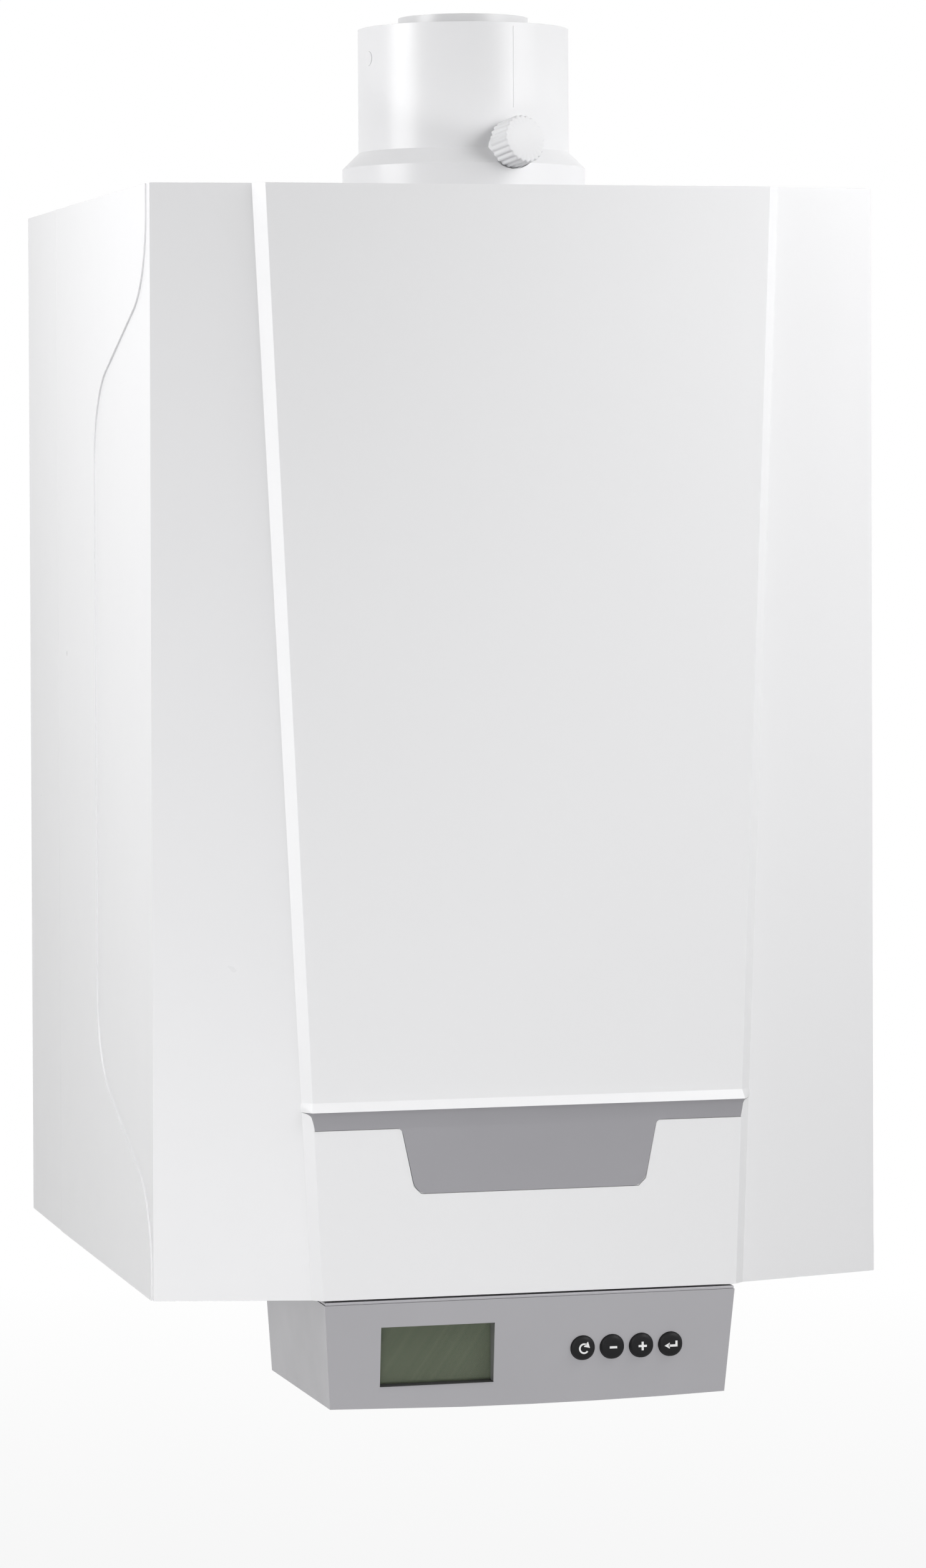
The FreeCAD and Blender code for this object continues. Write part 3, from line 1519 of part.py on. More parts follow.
parts_on_card = [
    on_card("8", "43", "0.44", "0.8", "28"),
    on_card("128", "180", "0.74", "0.94", "14"),
    on_card("68", "108", "0.08", "0.28", "10"),
]
for step in range(3):
    parts_on_card.append(on_card(f"{68 + 18 * step}", f"{80 + 18 * step}", "0.54", "0.8", "16"))
piece("main_board", join(card, *parts_on_card))

doc.recompute()
faults = [item.Name for item in doc.Objects if "Invalid" in item.State or "Error" in item.State]
for label, item in pieces.items():
    form = item.Shape
    if form.isNull() or not form.isValid() or not form.Solids:
        faults.append(label)
if faults:
    raise ValueError("faulty shapes: " + ", ".join(faults))
os.makedirs("parts", exist_ok=True)
for label, item in pieces.items():
    item.Shape.exportStep(f"parts/{label}.step")
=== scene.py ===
import bpy
import bmesh
import json
import math
from mathutils import Matrix, Vector
from mathutils.bvhtree import BVHTree


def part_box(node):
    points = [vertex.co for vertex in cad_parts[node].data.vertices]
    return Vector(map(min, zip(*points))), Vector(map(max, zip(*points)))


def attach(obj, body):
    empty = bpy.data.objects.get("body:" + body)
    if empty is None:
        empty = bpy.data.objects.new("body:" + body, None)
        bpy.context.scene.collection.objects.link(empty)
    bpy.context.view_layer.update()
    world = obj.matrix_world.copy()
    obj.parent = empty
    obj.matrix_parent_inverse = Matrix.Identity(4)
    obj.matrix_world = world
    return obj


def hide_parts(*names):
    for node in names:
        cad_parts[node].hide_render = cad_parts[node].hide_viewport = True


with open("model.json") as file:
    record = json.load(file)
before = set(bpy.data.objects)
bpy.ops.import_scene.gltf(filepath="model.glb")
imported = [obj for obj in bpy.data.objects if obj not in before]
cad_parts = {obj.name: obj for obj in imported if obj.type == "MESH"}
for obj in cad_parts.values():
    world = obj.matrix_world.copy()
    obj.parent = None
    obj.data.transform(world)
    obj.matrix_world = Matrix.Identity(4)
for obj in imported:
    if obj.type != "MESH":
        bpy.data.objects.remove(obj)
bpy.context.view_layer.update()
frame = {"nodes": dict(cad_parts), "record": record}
nodes = frame["nodes"]
scene = bpy.context.scene
print("frame loaded:", len(nodes), "nodes")


class Wire:
    # a socket that takes part in sums
    def __init__(self, tree, socket):
        self.tree = tree
        self.socket = socket

    def maths(self, operation, *terms):
        made = self.tree.nodes.new("ShaderNodeMath")
        made.operation = operation
        for slot, term in zip(made.inputs, terms):
            if isinstance(term, Wire):
                self.tree.links.new(term.socket, slot)
            else:
                slot.default_value = term
        return Wire(self.tree, made.outputs[0])

    def __add__(self, other):
        return self.maths("ADD", self, other)

    def __radd__(self, other):
        return self.maths("ADD", other, self)

    def __mul__(self, other):
        return self.maths("MULTIPLY", self, other)


class Graph:
    # makes and joins the nodes of one tree
    def __init__(self, tree):
        self.tree = tree

    def node(self, kind, settings=None, **values):
        made = self.tree.nodes.new(kind)
        for name, value in (settings or {}).items():
            setattr(made, name, value)
        for name, value in values.items():
            self.feed(made.inputs[name.replace("_", " ")], value)
        return made

    def feed(self, socket, value):
        if isinstance(value, Wire):
            self.tree.links.new(value.socket, socket)
        elif isinstance(value, bpy.types.NodeSocket):
            self.tree.links.new(value, socket)
        else:
            socket.default_value = value

    def wire(self, socket):
        return Wire(self.tree, socket)

    def seenRays(self):
        # 1 for rays from the camera and for those mirrored or let through by the object
        rays = self.node("ShaderNodeLightPath").outputs
        mirrored = self.wire(rays["Is Glossy Ray"]) + self.wire(rays["Is Transmission Ray"])
        return self.wire(rays["Is Camera Ray"]) + mirrored


class Finish(Graph):
    # one material and its node tree
    def __init__(self, name):
        self.material = bpy.data.materials.new(name)
        self.material.use_nodes = True
        super().__init__(self.material.node_tree)
        self.shader = self.tree.nodes["Principled BSDF"]
        self.place = self.node("ShaderNodeTexCoord").outputs["Object"]

    def noise(self, scale, detail=3.0, stretch=None):
        spot = self.place
        if stretch:
            spot = self.node("ShaderNodeMapping", Vector=spot, Scale=stretch).outputs["Vector"]
        made = self.node("ShaderNodeTexNoise", Vector=spot, Scale=scale, Detail=detail)
        return self.wire(made.outputs["Fac"])

    def bump(self, height, strength, distance):
        made = self.node("ShaderNodeBump", Height=height, Strength=strength, Distance=distance)
        self.feed(self.shader.inputs["Normal"], made.outputs["Normal"])

    def tint(self, factor, low, high):
        made = self.node("ShaderNodeMix", {"data_type": "RGBA"}, Factor=factor)
        made.inputs[6].default_value = (*low, 1)
        made.inputs[7].default_value = (*high, 1)
        self.feed(self.shader.inputs["Base Color"], made.outputs[2])

    def set(self, **values):
        for name, value in values.items():
            self.feed(self.shader.inputs[name.replace("_", " ")], value)


def shade(colour, factor):
    return tuple(min(1.0, part * factor) for part in colour)


mould = {
    "mottle": 9.0, "mottleDetail": 4.0, "smear": 35.0, "glossLow": 0.85, "glossSwing": 0.3,
    "grainDetail": 2.0, "bump": 0.35, "coatRough": 0.22,
}


def moulded(name, colour, rough, grain, depth, spread, metallic=0.0, coat=0.0, shine=0.5):
    # painted, moulded and cast surfaces: mottled tone, uneven gloss, fine grain
    made = Finish(name)
    mottle = made.noise(mould["mottle"], mould["mottleDetail"])
    made.tint(mottle, shade(colour, 1 - spread), shade(colour, 1 + spread))
    smear = made.noise(mould["smear"]) * (rough * mould["glossSwing"])
    made.set(Roughness=rough * mould["glossLow"] + smear, Metallic=metallic, Specular_IOR_Level=shine)
    if coat:
        made.set(Coat_Weight=coat, Coat_Roughness=mould["coatRough"])
    made.bump(made.noise(grain, mould["grainDetail"]), mould["bump"], depth)
    return made.material


drawn = {
    "streak": 60.0, "streakDetail": 4.0, "dark": 0.86, "light": 1.08,
    "glossLow": 0.75, "glossSwing": 0.5, "bump": 0.15, "depth": 0.0002,
}


def brushed(name, colour, rough, along):
    # drawn or rolled metal: fine streaks along one direction
    made = Finish(name)
    streak = made.noise(drawn["streak"], drawn["streakDetail"], along)
    made.tint(streak, shade(colour, drawn["dark"]), shade(colour, drawn["light"]))
    made.set(Roughness=rough * drawn["glossLow"] + streak * (rough * drawn["glossSwing"]), Metallic=1.0)
    made.bump(streak, drawn["bump"], drawn["depth"])
    return made.material


screen = {
    "foot": -0.742, "head": -0.70, "dark": (0.165, 0.195, 0.118), "light": (0.2, 0.24, 0.148),
    "paintedShadeShare": 0.9, "speck": 2400.0, "speckDetail": 1.0, "speckShare": 0.12,
    "smear": 40.0, "gloss": 0.25, "glossSwing": 0.08,
}


def screenFinish(name):
    # grey-green liquid crystal, with painted shade making it a little darker towards its foot
    made = Finish(name)
    up = made.node("ShaderNodeSeparateXYZ", Vector=made.place).outputs["Z"]
    # painted shade: the screen's colour runs from its dark tint at the foot to its light tint at the head
    paintedFootShade = made.node("ShaderNodeMapRange", Value=up, From_Min=screen["foot"], From_Max=screen["head"])
    speck = made.noise(screen["speck"], screen["speckDetail"]) * screen["speckShare"]
    tone = made.wire(paintedFootShade.outputs["Result"]) * screen["paintedShadeShare"] + speck
    made.tint(tone, screen["dark"], screen["light"])
    made.set(Roughness=screen["gloss"] + made.noise(screen["smear"]) * screen["glossSwing"])
    return made.material


window = {
    "cloud": 12.0, "dark": (0.28, 0.32, 0.28), "light": (0.34, 0.38, 0.34),
    "smear": 30.0, "gloss": 0.04, "glossSwing": 0.03, "film": 8.0, "alpha": 0.08, "alphaSwing": 0.03,
}


def glassFinish(name):
    # clear, faintly green window with a thin film on it
    made = Finish(name)
    made.tint(made.noise(window["cloud"]), window["dark"], window["light"])
    made.set(Roughness=window["gloss"] + made.noise(window["smear"]) * window["glossSwing"])
    made.set(Alpha=window["alpha"] + made.noise(window["film"]) * window["alphaSwing"])
    return made.material


# colour, roughness, grain, depth of the grain, spread of the tone, and what else differs
mouldedLooks = {
    "whitePaint": ((0.80, 0.80, 0.81), 0.30, 700.0, 0.000002, 0.006, {"coat": 0.15}),
    "whitePlastic": ((0.75, 0.75, 0.76), 0.32, 1400.0, 0.000004, 0.008, {}),
    "silverGrain": ((0.410, 0.405, 0.425), 0.44, 2600.0, 0.00006, 0.05, {"metallic": 0.65, "coat": 0.4}),
    "trimGrain": ((0.326, 0.322, 0.341), 0.46, 2600.0, 0.00006, 0.04, {"metallic": 0.4}),
    "keyBlack": ((0.012, 0.012, 0.013), 0.45, 2200.0, 0.00004, 0.12, {"shine": 0.16}),
    "capWhite": ((0.72, 0.72, 0.73), 0.55, 1400.0, 0.000004, 0.008, {"shine": 0.3}),
    "blackPlastic": ((0.018, 0.018, 0.019), 0.32, 1800.0, 0.00005, 0.15, {}),
    "castAluminium": ((0.60, 0.60, 0.60), 0.46, 420.0, 0.0003, 0.07, {"metallic": 0.9}),
    "rubber": ((0.03, 0.03, 0.031), 0.7, 1200.0, 0.0001, 0.2, {}),
    "ceramic": ((0.82, 0.80, 0.75), 0.2, 900.0, 0.00003, 0.03, {}),
    "board": ((0.02, 0.16, 0.07), 0.4, 600.0, 0.00006, 0.2, {}),
    "signWhite": ((0.82, 0.82, 0.82), 0.45, 1500.0, 0.00002, 0.02, {}),
}
brushedLooks = {
    "steel": ((0.56, 0.56, 0.57), 0.35, (1.0, 14.0, 14.0)),
    "copper": ((0.80, 0.47, 0.32), 0.30, (14.0, 14.0, 1.0)),
    "brass": ((0.78, 0.60, 0.28), 0.28, (14.0, 14.0, 1.0)),
}
finishes = {name: moulded(name, *look, **other) for name, (*look, other) in mouldedLooks.items()}
finishes.update({name: brushed(name, *look) for name, look in brushedLooks.items()})
finishes["screen"] = screenFinish("screen")
finishes["glass"] = glassFinish("windowGlass")
slotFinish = {
    "white_paint": "whitePaint",
    "white_plastic": "whitePlastic",
    "silver_plastic": "silverGrain",
    "black_plastic": "blackPlastic",
    "steel": "steel",
    "aluminium": "castAluminium",
    "copper": "copper",
    "brass": "brass",
    "rubber": "rubber",
    "ceramic": "ceramic",
    "glass": "glass",
    "screen": "screen",
    "board": "board",
}
nodeSlot = {part["node"]: part["material_slot"] for part in frame["record"]["subparts"]}
bodyOf = {node: body for body, held in frame["record"]["behaviour"]["bodies"].items() for node in held}


def dress(thing, finishName):
    thing.data.materials.clear()
    thing.data.materials.append(finishes[finishName])


for nodeName, thing in nodes.items():
    dress(thing, slotFinish[nodeSlot[nodeName]])
print("finishes on", len(nodes), "nodes")


def place(name, shape, body, slot, finishName=None, crease=38.0):
    # turns a bmesh into a finished piece that rides on a body
    shape.normal_update()
    for face in shape.faces:
        face.smooth = True
    for edge in shape.edges:
        edge.smooth = len(edge.link_faces) == 2 and edge.calc_face_angle() < math.radians(crease)
    mesh = bpy.data.meshes.new(name)
    shape.to_mesh(mesh)
    shape.free()
    thing = bpy.data.objects.new(name, mesh)
    scene.collection.objects.link(thing)
    even = thing.modifiers.new("evenNormals", "WEIGHTED_NORMAL")
    even.keep_sharp = True
    dress(thing, finishName or slotFinish[slot])
    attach(thing, body)
    return thing


weld = {"cad": 1e-5, "own": 1e-6, "flat": 1}


def copied(nodeName):
    # the node's mesh, merged and with its flat faces whole again
    shape = bmesh.new()
    shape.from_mesh(nodes[nodeName].data)
    bmesh.ops.remove_doubles(shape, verts=shape.verts, dist=weld["cad"])
    bmesh.ops.dissolve_limit(
        shape, angle_limit=math.radians(weld["flat"]), verts=shape.verts, edges=shape.edges)
    shape.normal_update()
    return shape


outlook = {"lift": 0.0002, "reach": 0.6}


def outerEdges(shape, least):
    # edges sharper than least whose two faces look out into the open
    tree = BVHTree.FromBMesh(shape)
    seen = {}
    for face in shape.faces:
        start = face.calc_center_median() + face.normal * outlook["lift"]
        seen[face] = tree.ray_cast(start, face.normal, outlook["reach"])[0] is None
    return [
        edge for edge in shape.edges
        if len(edge.link_faces) == 2
        and edge.calc_face_angle() > math.radians(least)
        and all(seen[face] for face in edge.link_faces)
    ]


def roundOff(shape, edges, width, steps=3):
    bmesh.ops.bevel(
        shape, geom=edges, offset=width, offset_type="OFFSET", segments=steps, profile=0.5,
        affect="EDGES", material=-1, clamp_overlap=True)


def middle(edge):
    return (edge.verts[0].co + edge.verts[1].co) / 2


def direction(edge):
    return (edge.verts[1].co - edge.verts[0].co).normalized()


def grownVerts(grown):
    return [item for item in grown["geom"] if isinstance(item, bmesh.types.BMVert)]


def turned(degrees, axis):
    return Matrix.Rotation(math.radians(degrees), 4, axis)


# front cover: pressed edges are rounded, the swept rim in each side and the folds less
cover = {
    "rounding": {"rim": (0.0003, 2), "fold": (0.0005, 2), "edge": (0.0013, 3)},
    "least": 8.0, "sharp": 24.0, "upright": 0.95, "endZone": 0.004,
    "rimX": 0.2445, "rimFront": -0.4605, "rimRear": -0.2,
    "foldFront": -0.4735, "foldFar": 0.186,
    "seatNear": 0.0005, "seatWide": 0.001,
}
coverLow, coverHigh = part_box("front_cover")
trimLow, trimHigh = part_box("cover_trim")


def onSeat(spot):
    # edges hidden behind the trim stay sharp
    near = cover["seatNear"]
    wide = cover["seatWide"]
    level = trimLow[2] - wide < spot.z < trimHigh[2] + near
    return level and spot.y < trimHigh[1] + near and abs(spot.x) < trimHigh[0] + wide


def coverGroups(shape):
    # sorts the outer edges: the side rims, the folds beside the middle panel, all others
    groups = {"rim": [], "fold": [], "edge": []}
    for edge in outerEdges(shape, cover["least"]):
        spot = middle(edge)
        upright = abs(direction(edge).z) > cover["upright"]
        sharp = edge.calc_face_angle() > math.radians(cover["sharp"])
        inside = coverLow[2] + cover["endZone"] < spot.z < coverHigh[2] - cover["endZone"]
        sideways = abs(spot.x) > cover["rimX"] and cover["rimFront"] < spot.y < cover["rimRear"]
        ahead = spot.y < cover["foldFront"] and abs(spot.x) < cover["foldFar"]
        if sideways and inside:
            groups["rim"].append(edge)
        elif upright and ahead and inside and not onSeat(spot):
            groups["fold"].append(edge)
        elif sharp and not onSeat(spot):
            groups["edge"].append(edge)
    return groups


coverShape = copied("front_cover")
for group, (width, steps) in cover["rounding"].items():
    chosen = coverGroups(coverShape)[group]
    roundOff(coverShape, chosen, width, steps)
    print("cover", group, len(chosen), "edges rounded")
coverPiece = place("frontCoverShell", coverShape, "cover", "white_paint")
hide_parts("front_cover")
print("cover shell", len(coverPiece.data.polygons), "faces")

# grip band and bare plate
trim = {
    "corner": 0.0034, "shoulder": 0.0032, "edge": 0.0004, "steps": 5, "sharp": 30.0,
    "plateFoot": 0.006, "plateHeight": 0.043, "plateHalf": 0.0865,
    "across": 0.9, "thickest": 0.004, "slack": 0.001,
}


def trimPiece():
    shape = copied("cover_trim")
    corners, shoulders = [], []
    for edge in shape.edges:
        spot = middle(edge)
        if abs(direction(edge).y) < trim["across"] or edge.calc_length() > trim["thickest"]:
            continue
        rise = abs(spot.z - trimLow[2] - trim["plateHeight"])
        aside = abs(abs(spot.x) - trim["plateHalf"])
        if spot.z < trimLow[2] + trim["plateFoot"]:
            corners.append(edge)
        elif rise < trim["slack"] and aside < trim["slack"]:
            shoulders.append(edge)
    print("trim corners", len(corners), "shoulders", len(shoulders))
    roundOff(shape, corners, trim["corner"], trim["steps"])
    shoulders = [edge for edge in shoulders if edge.is_valid]
    roundOff(shape, shoulders, trim["shoulder"], trim["steps"])
    roundOff(shape, outerEdges(shape, trim["sharp"]), trim["edge"], 2)
    thing = place("gripTrim", shape, "cover", "silver_plastic", "trimGrain")
    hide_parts("cover_trim")


trimPiece()

# softened copies of the other pieces that show
soft = {"sharp": 28.0, "shortest": 0.0016}
softEdges = {
    "chassis": ("rearCasing", 0.0006),
    "control_box_body": ("controlBox", 0.0009),
    "control_box_lid": ("controlBoxLid", 0.0005),
    "flue_air_socket": ("airSocket", 0.0009),
    "flue_socket": ("flueSocket", 0.0009),
}
for nodeName, (pieceName, width) in softEdges.items():
    softShape = copied(nodeName)
    sharpEdges = outerEdges(softShape, soft["sharp"])
    roundOff(softShape, [edge for edge in sharpEdges if edge.calc_length() > soft["shortest"]], width)
    softPiece = place(pieceName, softShape, bodyOf[nodeName], nodeSlot[nodeName])
    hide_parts(nodeName)
print("softened", len(softEdges), "pieces")

# knurled sampling cap: a fluted disc with a crowned face
cap = {
    "radius": 0.0165, "start": 0.077, "end": 0.095, "crease": 55.0,
    "flutes": 24, "perFlute": 8, "depth": 0.0011, "pinch": 1.6,
    "angle": 22.6, "tilt": 10.7, "centre": (-0.015694, -0.331533, 0.0622),
    "crownRise": 0.0016,
    "crown": ((0.985, 0.0005), (0.965, 0.0004), (0.93, 0.0002), (0.8, 0.0003), (0.6, 0.0002)),
}


def capPiece():
    shape = bmesh.new()
    count = cap["flutes"] * cap["perFlute"]
    bmesh.ops.create_circle(shape, cap_ends=True, segments=count, radius=cap["radius"])
    for vert in shape.verts:
        phase = math.atan2(vert.co.y, vert.co.x) * cap["flutes"]
        vert.co *= 1 - cap["depth"] / cap["radius"] * (0.5 - 0.5 * math.cos(phase)) ** cap["pinch"]
    top = grownVerts(bmesh.ops.extrude_face_region(shape, geom=shape.faces[:]))
    bmesh.ops.translate(shape, verts=top, vec=(0, 0, cap["end"] - cap["start"] - cap["crownRise"]))
    for share, rise in cap["crown"]:
        face = max(shape.faces, key=lambda item: item.calc_center_median().z)
        ring = grownVerts(bmesh.ops.extrude_face_region(shape, geom=[face]))
        bmesh.ops.scale(shape, verts=ring, vec=(share, share, 1))
        bmesh.ops.translate(shape, verts=ring, vec=(0, 0, rise))
    bmesh.ops.recalc_face_normals(shape, faces=shape.faces)
    turn = turned(cap["angle"], "Z") @ turned(90 - cap["tilt"], "X")
    bmesh.ops.translate(shape, verts=shape.verts, vec=(0, 0, cap["start"]))
    bmesh.ops.transform(shape, matrix=Matrix.Translation(cap["centre"]) @ turn, verts=shape.verts)
    thing = place("samplingCap", shape, "sampling_knob", "white_plastic", "capWhite", cap["crease"])
    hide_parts("sampling_cap")


capPiece()

# mould line above the sampling port and a round witness mark on the air socket
socketAxis = {"x": 0.0, "y": -0.325, "radius": 0.0723}
mouldLine = {"low": 0.102, "high": 0.157, "wide": 0.001, "thick": 0.002, "proud": 0.00025, "angle": 14.3}


def mouldLinePiece():
    shape = bmesh.new()
    bmesh.ops.create_cube(shape, size=1.0)
    size = (mouldLine["wide"], mouldLine["thick"], mouldLine["high"] - mouldLine["low"])
    bmesh.ops.scale(shape, verts=shape.verts, vec=size)
    front = [edge for edge in shape.edges if middle(edge).y < -mouldLine["thick"] / 4]
    roundOff(shape, front, mouldLine["proud"], 2)
    reach = socketAxis["radius"] + mouldLine["proud"] - mouldLine["thick"] / 2
    height = (mouldLine["high"] + mouldLine["low"]) / 2
    bmesh.ops.translate(shape, verts=shape.verts, vec=(0, -reach, height))
    home = Matrix.Translation((socketAxis["x"], socketAxis["y"], 0))
    bmesh.ops.transform(shape, matrix=home @ turned(mouldLine["angle"], "Z"), verts=shape.verts)
    place("mouldLine", shape, "boiler", "white_plastic")


witness = {
    "radius": 0.005, "thick": 0.003, "proud": 0.0005, "edge": 0.0004, "steps": 40,
    "angle": -76.8, "height": 0.138,
}


def witnessPiece():
    shape = bmesh.new()
    bmesh.ops.create_cone(
        shape, cap_ends=True, segments=witness["steps"], depth=witness["thick"],
        radius1=witness["radius"], radius2=witness["radius"])
    rim = [edge for edge in shape.edges if middle(edge).z > witness["thick"] / 3]
    roundOff(shape, rim, witness["edge"], 2)
    reach = socketAxis["radius"] + witness["proud"] - witness["thick"] / 2
    bmesh.ops.translate(shape, verts=shape.verts, vec=(0, 0, reach))
    home = Matrix.Translation((socketAxis["x"], socketAxis["y"], witness["height"]))
    turn = turned(witness["angle"], "Z") @ turned(90, "X")
    bmesh.ops.transform(shape, matrix=home @ turn, verts=shape.verts)
    place("witnessMark", shape, "boiler", "white_plastic")


mouldLinePiece()
witnessPiece()
print("flue adapter marked")

# round keys with a crowned face
keycap = {
    "steps": 64,
    "profile": (
        (0.0, 0.0), (0.003, 0.00006), (0.0052, 0.0002), (0.0064, 0.00055),
        (0.0073, 0.0012), (0.0078, 0.002), (0.008, 0.003), (0.008, 0.0095)),
}


def keyPiece(nodeName, body):
    low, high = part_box(nodeName)
    front = ((low[0] + high[0]) / 2, low[1], (low[2] + high[2]) / 2)
    shape = bmesh.new()
    line = [shape.verts.new((reach, depth, 0)) for reach, depth in keycap["profile"]]
    run = [shape.edges.new(pair) for pair in zip(line, line[1:])]
    bmesh.ops.spin(
        shape, geom=line + run, cent=(0, 0, 0), axis=(0, 1, 0), angle=math.tau,
        steps=keycap["steps"], use_merge=True)
    bmesh.ops.remove_doubles(shape, verts=shape.verts, dist=weld["own"])
    bmesh.ops.holes_fill(shape, edges=[edge for edge in shape.edges if edge.is_boundary])
    bmesh.ops.recalc_face_normals(shape, faces=shape.faces)
    bmesh.ops.translate(shape, verts=shape.verts, vec=front)
    thing = place(nodeName.replace("button_", "key") + "Cap", shape, body, "black_plastic", "keyBlack")
    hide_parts(nodeName)
    return front


# white signs on the keys: a reset arrow, minus, plus and enter
sign = {
    "stroke": 0.00145, "thick": 0.0004, "proud": 0.00012, "minusArm": 0.0018, "plusArm": 0.0021,
    "enterCorner": (0.0032, -0.0006, 0), "enterUp": (0, 0.0024, 0), "enterLeft": (-0.0046, 0, 0),
    "enterHead": ((-0.0026, -0.0006, 0), 90, 0.0023),
    "resetRing": (0.0024, 0.0035), "resetSweep": 262, "resetSteps": 30, "resetTurn": 60,
    "resetHead": ((0.0021, 0.002, 0), -12, 0.0025),
}
sideWays = ((1, 0, 0), (-1, 0, 0))
upWays = ((0, 1, 0), (0, -1, 0))


def stretchArm(shape, edge, way):
    # pulls one side of a flat sign out into an arm
    moved = grownVerts(bmesh.ops.extrude_edge_only(shape, edges=[edge]))
    bmesh.ops.translate(shape, verts=moved, vec=way)


def sideEdge(shape, way):
    return max(shape.edges, key=lambda edge: middle(edge).dot(Vector(way)))


def square(shape):
    bmesh.ops.create_grid(shape, x_segments=1, y_segments=1, size=sign["stroke"] / 2)


def stretchArms(shape, ways, reach):
    square(shape)
    for way in ways:
        stretchArm(shape, sideEdge(shape, way), Vector(way) * reach)


def minusSign(shape):
    stretchArms(shape, sideWays, sign["minusArm"])


def plusSign(shape):
    stretchArms(shape, sideWays + upWays, sign["plusArm"])


def arrowHead(shape, spot, degrees, radius):
    made = bmesh.ops.create_circle(shape, cap_ends=True, segments=3, radius=radius)
    bmesh.ops.transform(shape, matrix=Matrix.Translation(spot) @ turned(degrees, "Z"), verts=made["verts"])


def enterSign(shape):
    square(shape)
    bmesh.ops.translate(shape, verts=shape.verts, vec=sign["enterCorner"])
    up = sideEdge(shape, (0, 1, 0))
    left = sideEdge(shape, (-1, 0, 0))
    stretchArm(shape, up, sign["enterUp"])
    stretchArm(shape, left, sign["enterLeft"])
    arrowHead(shape, *sign["enterHead"])


def resetSign(shape):
    ends = [shape.verts.new((reach, 0, 0)) for reach in sign["resetRing"]]
    bar = shape.edges.new(ends)
    bmesh.ops.spin(
        shape, geom=ends + [bar], cent=(0, 0, 0), axis=(0, 0, 1), angle=math.radians(sign["resetSweep"]),
        steps=sign["resetSteps"], use_merge=False)
    bmesh.ops.transform(shape, matrix=turned(sign["resetTurn"], "Z"), verts=shape.verts)
    arrowHead(shape, *sign["resetHead"])


def signPiece(nodeName, body, drawSign, spot):
    shape = bmesh.new()
    drawSign(shape)
    bmesh.ops.remove_doubles(shape, verts=shape.verts, dist=weld["own"])
    bmesh.ops.recalc_face_normals(shape, faces=shape.faces)
    bmesh.ops.solidify(shape, geom=shape.faces[:], thickness=sign["thick"])
    bmesh.ops.recalc_face_normals(shape, faces=shape.faces)
    bmesh.ops.transform(shape, matrix=turned(90, "X"), verts=shape.verts)
    front = min(vert.co.y for vert in shape.verts)
    bmesh.ops.translate(shape, verts=shape.verts, vec=(spot[0], spot[1] - sign["proud"] - front, spot[2]))
    place(nodeName.replace("button_", "key") + "Sign", shape, body, "white_plastic", "signWhite")


keySigns = {
    "button_reset": resetSign,
    "button_minus": minusSign,
    "button_plus": plusSign,
    "button_enter": enterSign,
}
for nodeName, drawSign in keySigns.items():
    signPiece(nodeName, bodyOf[nodeName], drawSign, keyPiece(nodeName, bodyOf[nodeName]))
print("keys and signs made")

# dark lining on the foot of the display recess
lining = {"thick": 0.0004, "depth": 0.0088, "narrower": 0.0052, "sunk": 0.0001, "rise": 0.0025}


def liningPiece():
    low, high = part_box("display_window")
    shape = bmesh.new()
    bmesh.ops.create_cube(shape, size=1.0)
    size = (high[0] - low[0] - lining["narrower"], lining["depth"], lining["thick"])
    bmesh.ops.scale(shape, verts=shape.verts, vec=size)
    roundOff(shape, shape.edges[:], lining["thick"] / 4, 2)
    spot = (
        (low[0] + high[0]) / 2,
        low[1] - lining["depth"] / 2 + lining["sunk"],
        low[2] + lining["rise"] + lining["thick"] / 2,
    )
    bmesh.ops.translate(shape, verts=shape.verts, vec=spot)
    place("screenLining", shape, "control_box", "rubber")


liningPiece()
print("display recess lined")

# studio: a white floor that fades into a white room, with soft lamps all round
ground = {
    "level": -1.10, "size": 14.0, "white": (0.32, 0.32, 0.32), "light": 1.02, "cloud": 2.0,
    "smear": 3.0, "gloss": 0.7, "glossSwing": 0.1,
    "fadeNear": 0.8, "fadeFar": 2.6, "fadeLow": 0.86,
}


def whiteSurface(name):
    made = Finish(name)
    away = made.node("ShaderNodeVectorMath", {"operation": "LENGTH"}, Vector=made.place).outputs["Value"]
    fade = made.node(
        "ShaderNodeMapRange", Value=away, From_Min=ground["fadeNear"], From_Max=ground["fadeFar"],
        To_Min=ground["fadeLow"], To_Max=1.0)
    glow = made.node("ShaderNodeEmission", Color=(1, 1, 1, 1), Strength=1.0)
    mix = made.node("ShaderNodeMixShader")
    made.feed(mix.inputs[0], made.seenRays() * made.wire(fade.outputs["Result"]))
    made.feed(mix.inputs[1], made.shader.outputs[0])
    made.feed(mix.inputs[2], glow.outputs[0])
    made.tint(made.noise(ground["cloud"]), ground["white"], shade(ground["white"], ground["light"]))
    made.set(Roughness=ground["gloss"] + made.noise(ground["smear"]) * ground["glossSwing"])
    made.feed(made.tree.nodes["Material Output"].inputs["Surface"], mix.outputs[0])
    return made.material


def floorPiece():
    shape = bmesh.new()
    bmesh.ops.create_grid(shape, x_segments=1, y_segments=1, size=ground["size"] / 2)
    bmesh.ops.translate(shape, verts=shape.verts, vec=(0, 0, ground["level"]))
    mesh = bpy.data.meshes.new("floor")
    shape.to_mesh(mesh)
    shape.free()
    floor = bpy.data.objects.new("floor", mesh)
    scene.collection.objects.link(floor)
    floor.data.materials.append(whiteSurface("studioWhite"))


floorPiece()

room = {"around": 0.43, "swing": 0.16, "towards": (0.4, -0.92, 0.0), "overhead": 0.4, "overheadFrom": 0.9}


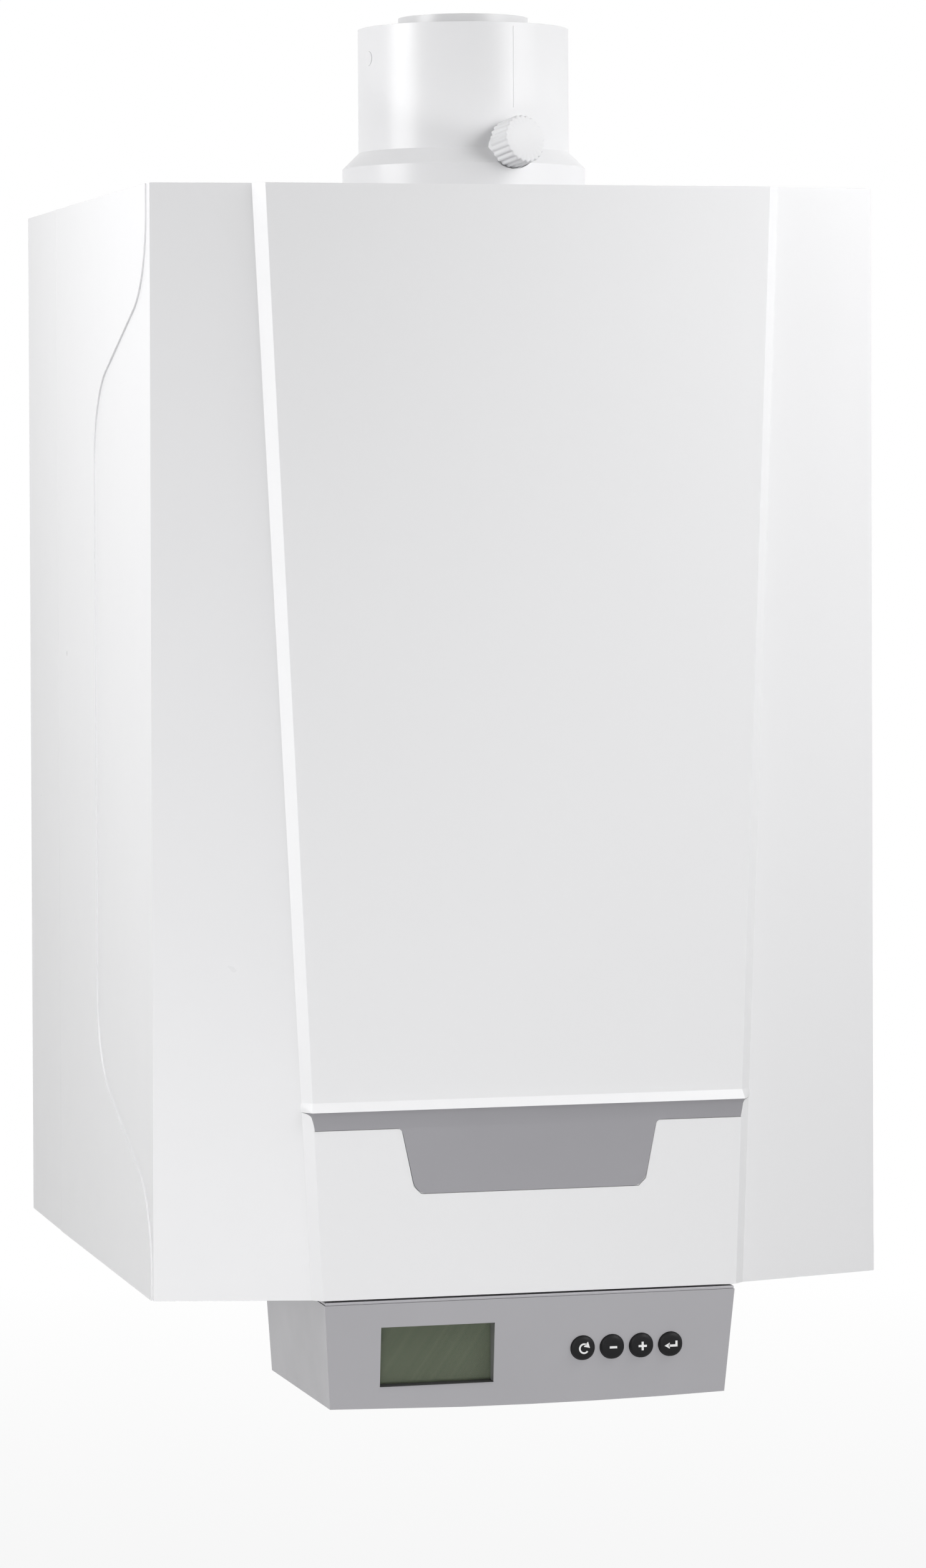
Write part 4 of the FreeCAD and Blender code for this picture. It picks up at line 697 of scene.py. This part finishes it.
def lightRoom():
    # white where it is seen; its light is strongest in front and on the right, and weaker overhead
    scene.world = bpy.data.worlds.new("studio")
    scene.world.use_nodes = True
    made = Graph(scene.world.node_tree)
    bearing = made.node("ShaderNodeTexCoord").outputs["Generated"]
    height = made.node("ShaderNodeSeparateXYZ", Vector=bearing).outputs["Z"]
    upper = made.node(
        "ShaderNodeMapRange", Value=height, From_Max=room["overheadFrom"],
        To_Min=1.0, To_Max=room["overhead"])
    facing = made.node("ShaderNodeVectorMath", {"operation": "DOT_PRODUCT"})
    made.feed(facing.inputs[0], bearing)
    made.feed(facing.inputs[1], room["towards"])
    light = made.wire(facing.outputs["Value"]) * room["swing"] + room["around"]
    light = light * made.wire(upper.outputs["Result"])
    level = made.node("ShaderNodeMapRange", Value=made.seenRays(), To_Min=light, To_Max=1.0)
    background = made.tree.nodes["Background"]
    made.feed(background.inputs["Color"], (1, 1, 1, 1))
    made.feed(background.inputs["Strength"], level.outputs["Result"])


lightRoom()

# lamps that don't show in the object's gloss
unmirrored = ("lowFront", "rearRight", "behind")


def lamp(name, spot, aim, power, width, height, spread):
    data = bpy.data.lights.new(name, "AREA")
    data.shape = "RECTANGLE"
    data.size = width
    data.size_y = height
    data.energy = power
    data.spread = math.radians(spread)
    made = bpy.data.objects.new(name, data)
    made.visible_camera = False
    made.visible_glossy = name not in unmirrored
    scene.collection.objects.link(made)
    away = Vector(spot) - Vector(aim)
    made.matrix_world = Matrix.Translation(spot) @ away.to_track_quat("Z", "Y").to_matrix().to_4x4()


# place, aim, power, width, height and spread of each lamp
lamps = {
    "highRight": ((0.8, -1.0, 0.42), (0.15, -0.45, -0.05), 3.8, 0.6, 0.6, 180),
    "farRight": ((1.0, -1.6, 0.5), (0.25, -0.45, -0.15), 1.6, 0.6, 0.6, 80),
    "sideRight": ((1.3, -0.9, 0.75), (0.25, -0.45, 0.0), 0.7, 0.6, 0.6, 70),
    "lowFront": ((-0.6, -2.25, -0.9), (-0.14, -0.45, -0.82), 3.5, 1.2, 0.3, 80),
    "highLeft": ((-1.05, -0.45, 0.34), (-0.25, -0.4, 0.0), 6.4, 0.5, 0.5, 180),
    "stripLeft": ((-1.16, -0.76, -0.2), (-0.17, -0.48, -0.2), 2.7, 0.18, 0.95, 180),
    "rearRight": ((1.4, 0.2, 0.6), (0.1, -0.3, 0.05), 0.7, 0.9, 0.9, 180),
    "behind": ((0.6, 1.9, 0.1), (0.0, 0.0, -0.25), 14.0, 1.0, 1.2, 180),
}
for lampName, settings in lamps.items():
    lamp(lampName, *settings)

# camera fitted to the photo's straight edges
lens = {
    "spot": (-0.874, -3.855, -0.153), "yaw": 13.88, "pitch": 0.024, "roll": -0.317,
    "length": 121.48, "sensor": 36.0, "rise": -0.1919,
}


def setCamera():
    yaw, pitch, roll = (math.radians(lens[turn]) for turn in ("yaw", "pitch", "roll"))
    ahead = Vector((math.sin(yaw) * math.cos(pitch), math.cos(yaw) * math.cos(pitch), math.sin(pitch)))
    level = ahead.cross(Vector((0, 0, 1))).normalized()
    plumb = level.cross(ahead).normalized()
    across = level * math.cos(roll) + plumb * math.sin(roll)
    upward = across.cross(ahead).normalized()
    data = bpy.data.cameras.new("camera")
    data.lens = lens["length"]
    data.sensor_width = lens["sensor"]
    data.shift_y = lens["rise"]
    camera = bpy.data.objects.new("camera", data)
    scene.collection.objects.link(camera)
    basis = Matrix((across, upward, -ahead)).transposed().to_4x4()
    camera.matrix_world = Matrix.Translation(lens["spot"]) @ basis
    scene.camera = camera


setCamera()
scene.view_settings.view_transform = "Standard"
print("studio set")
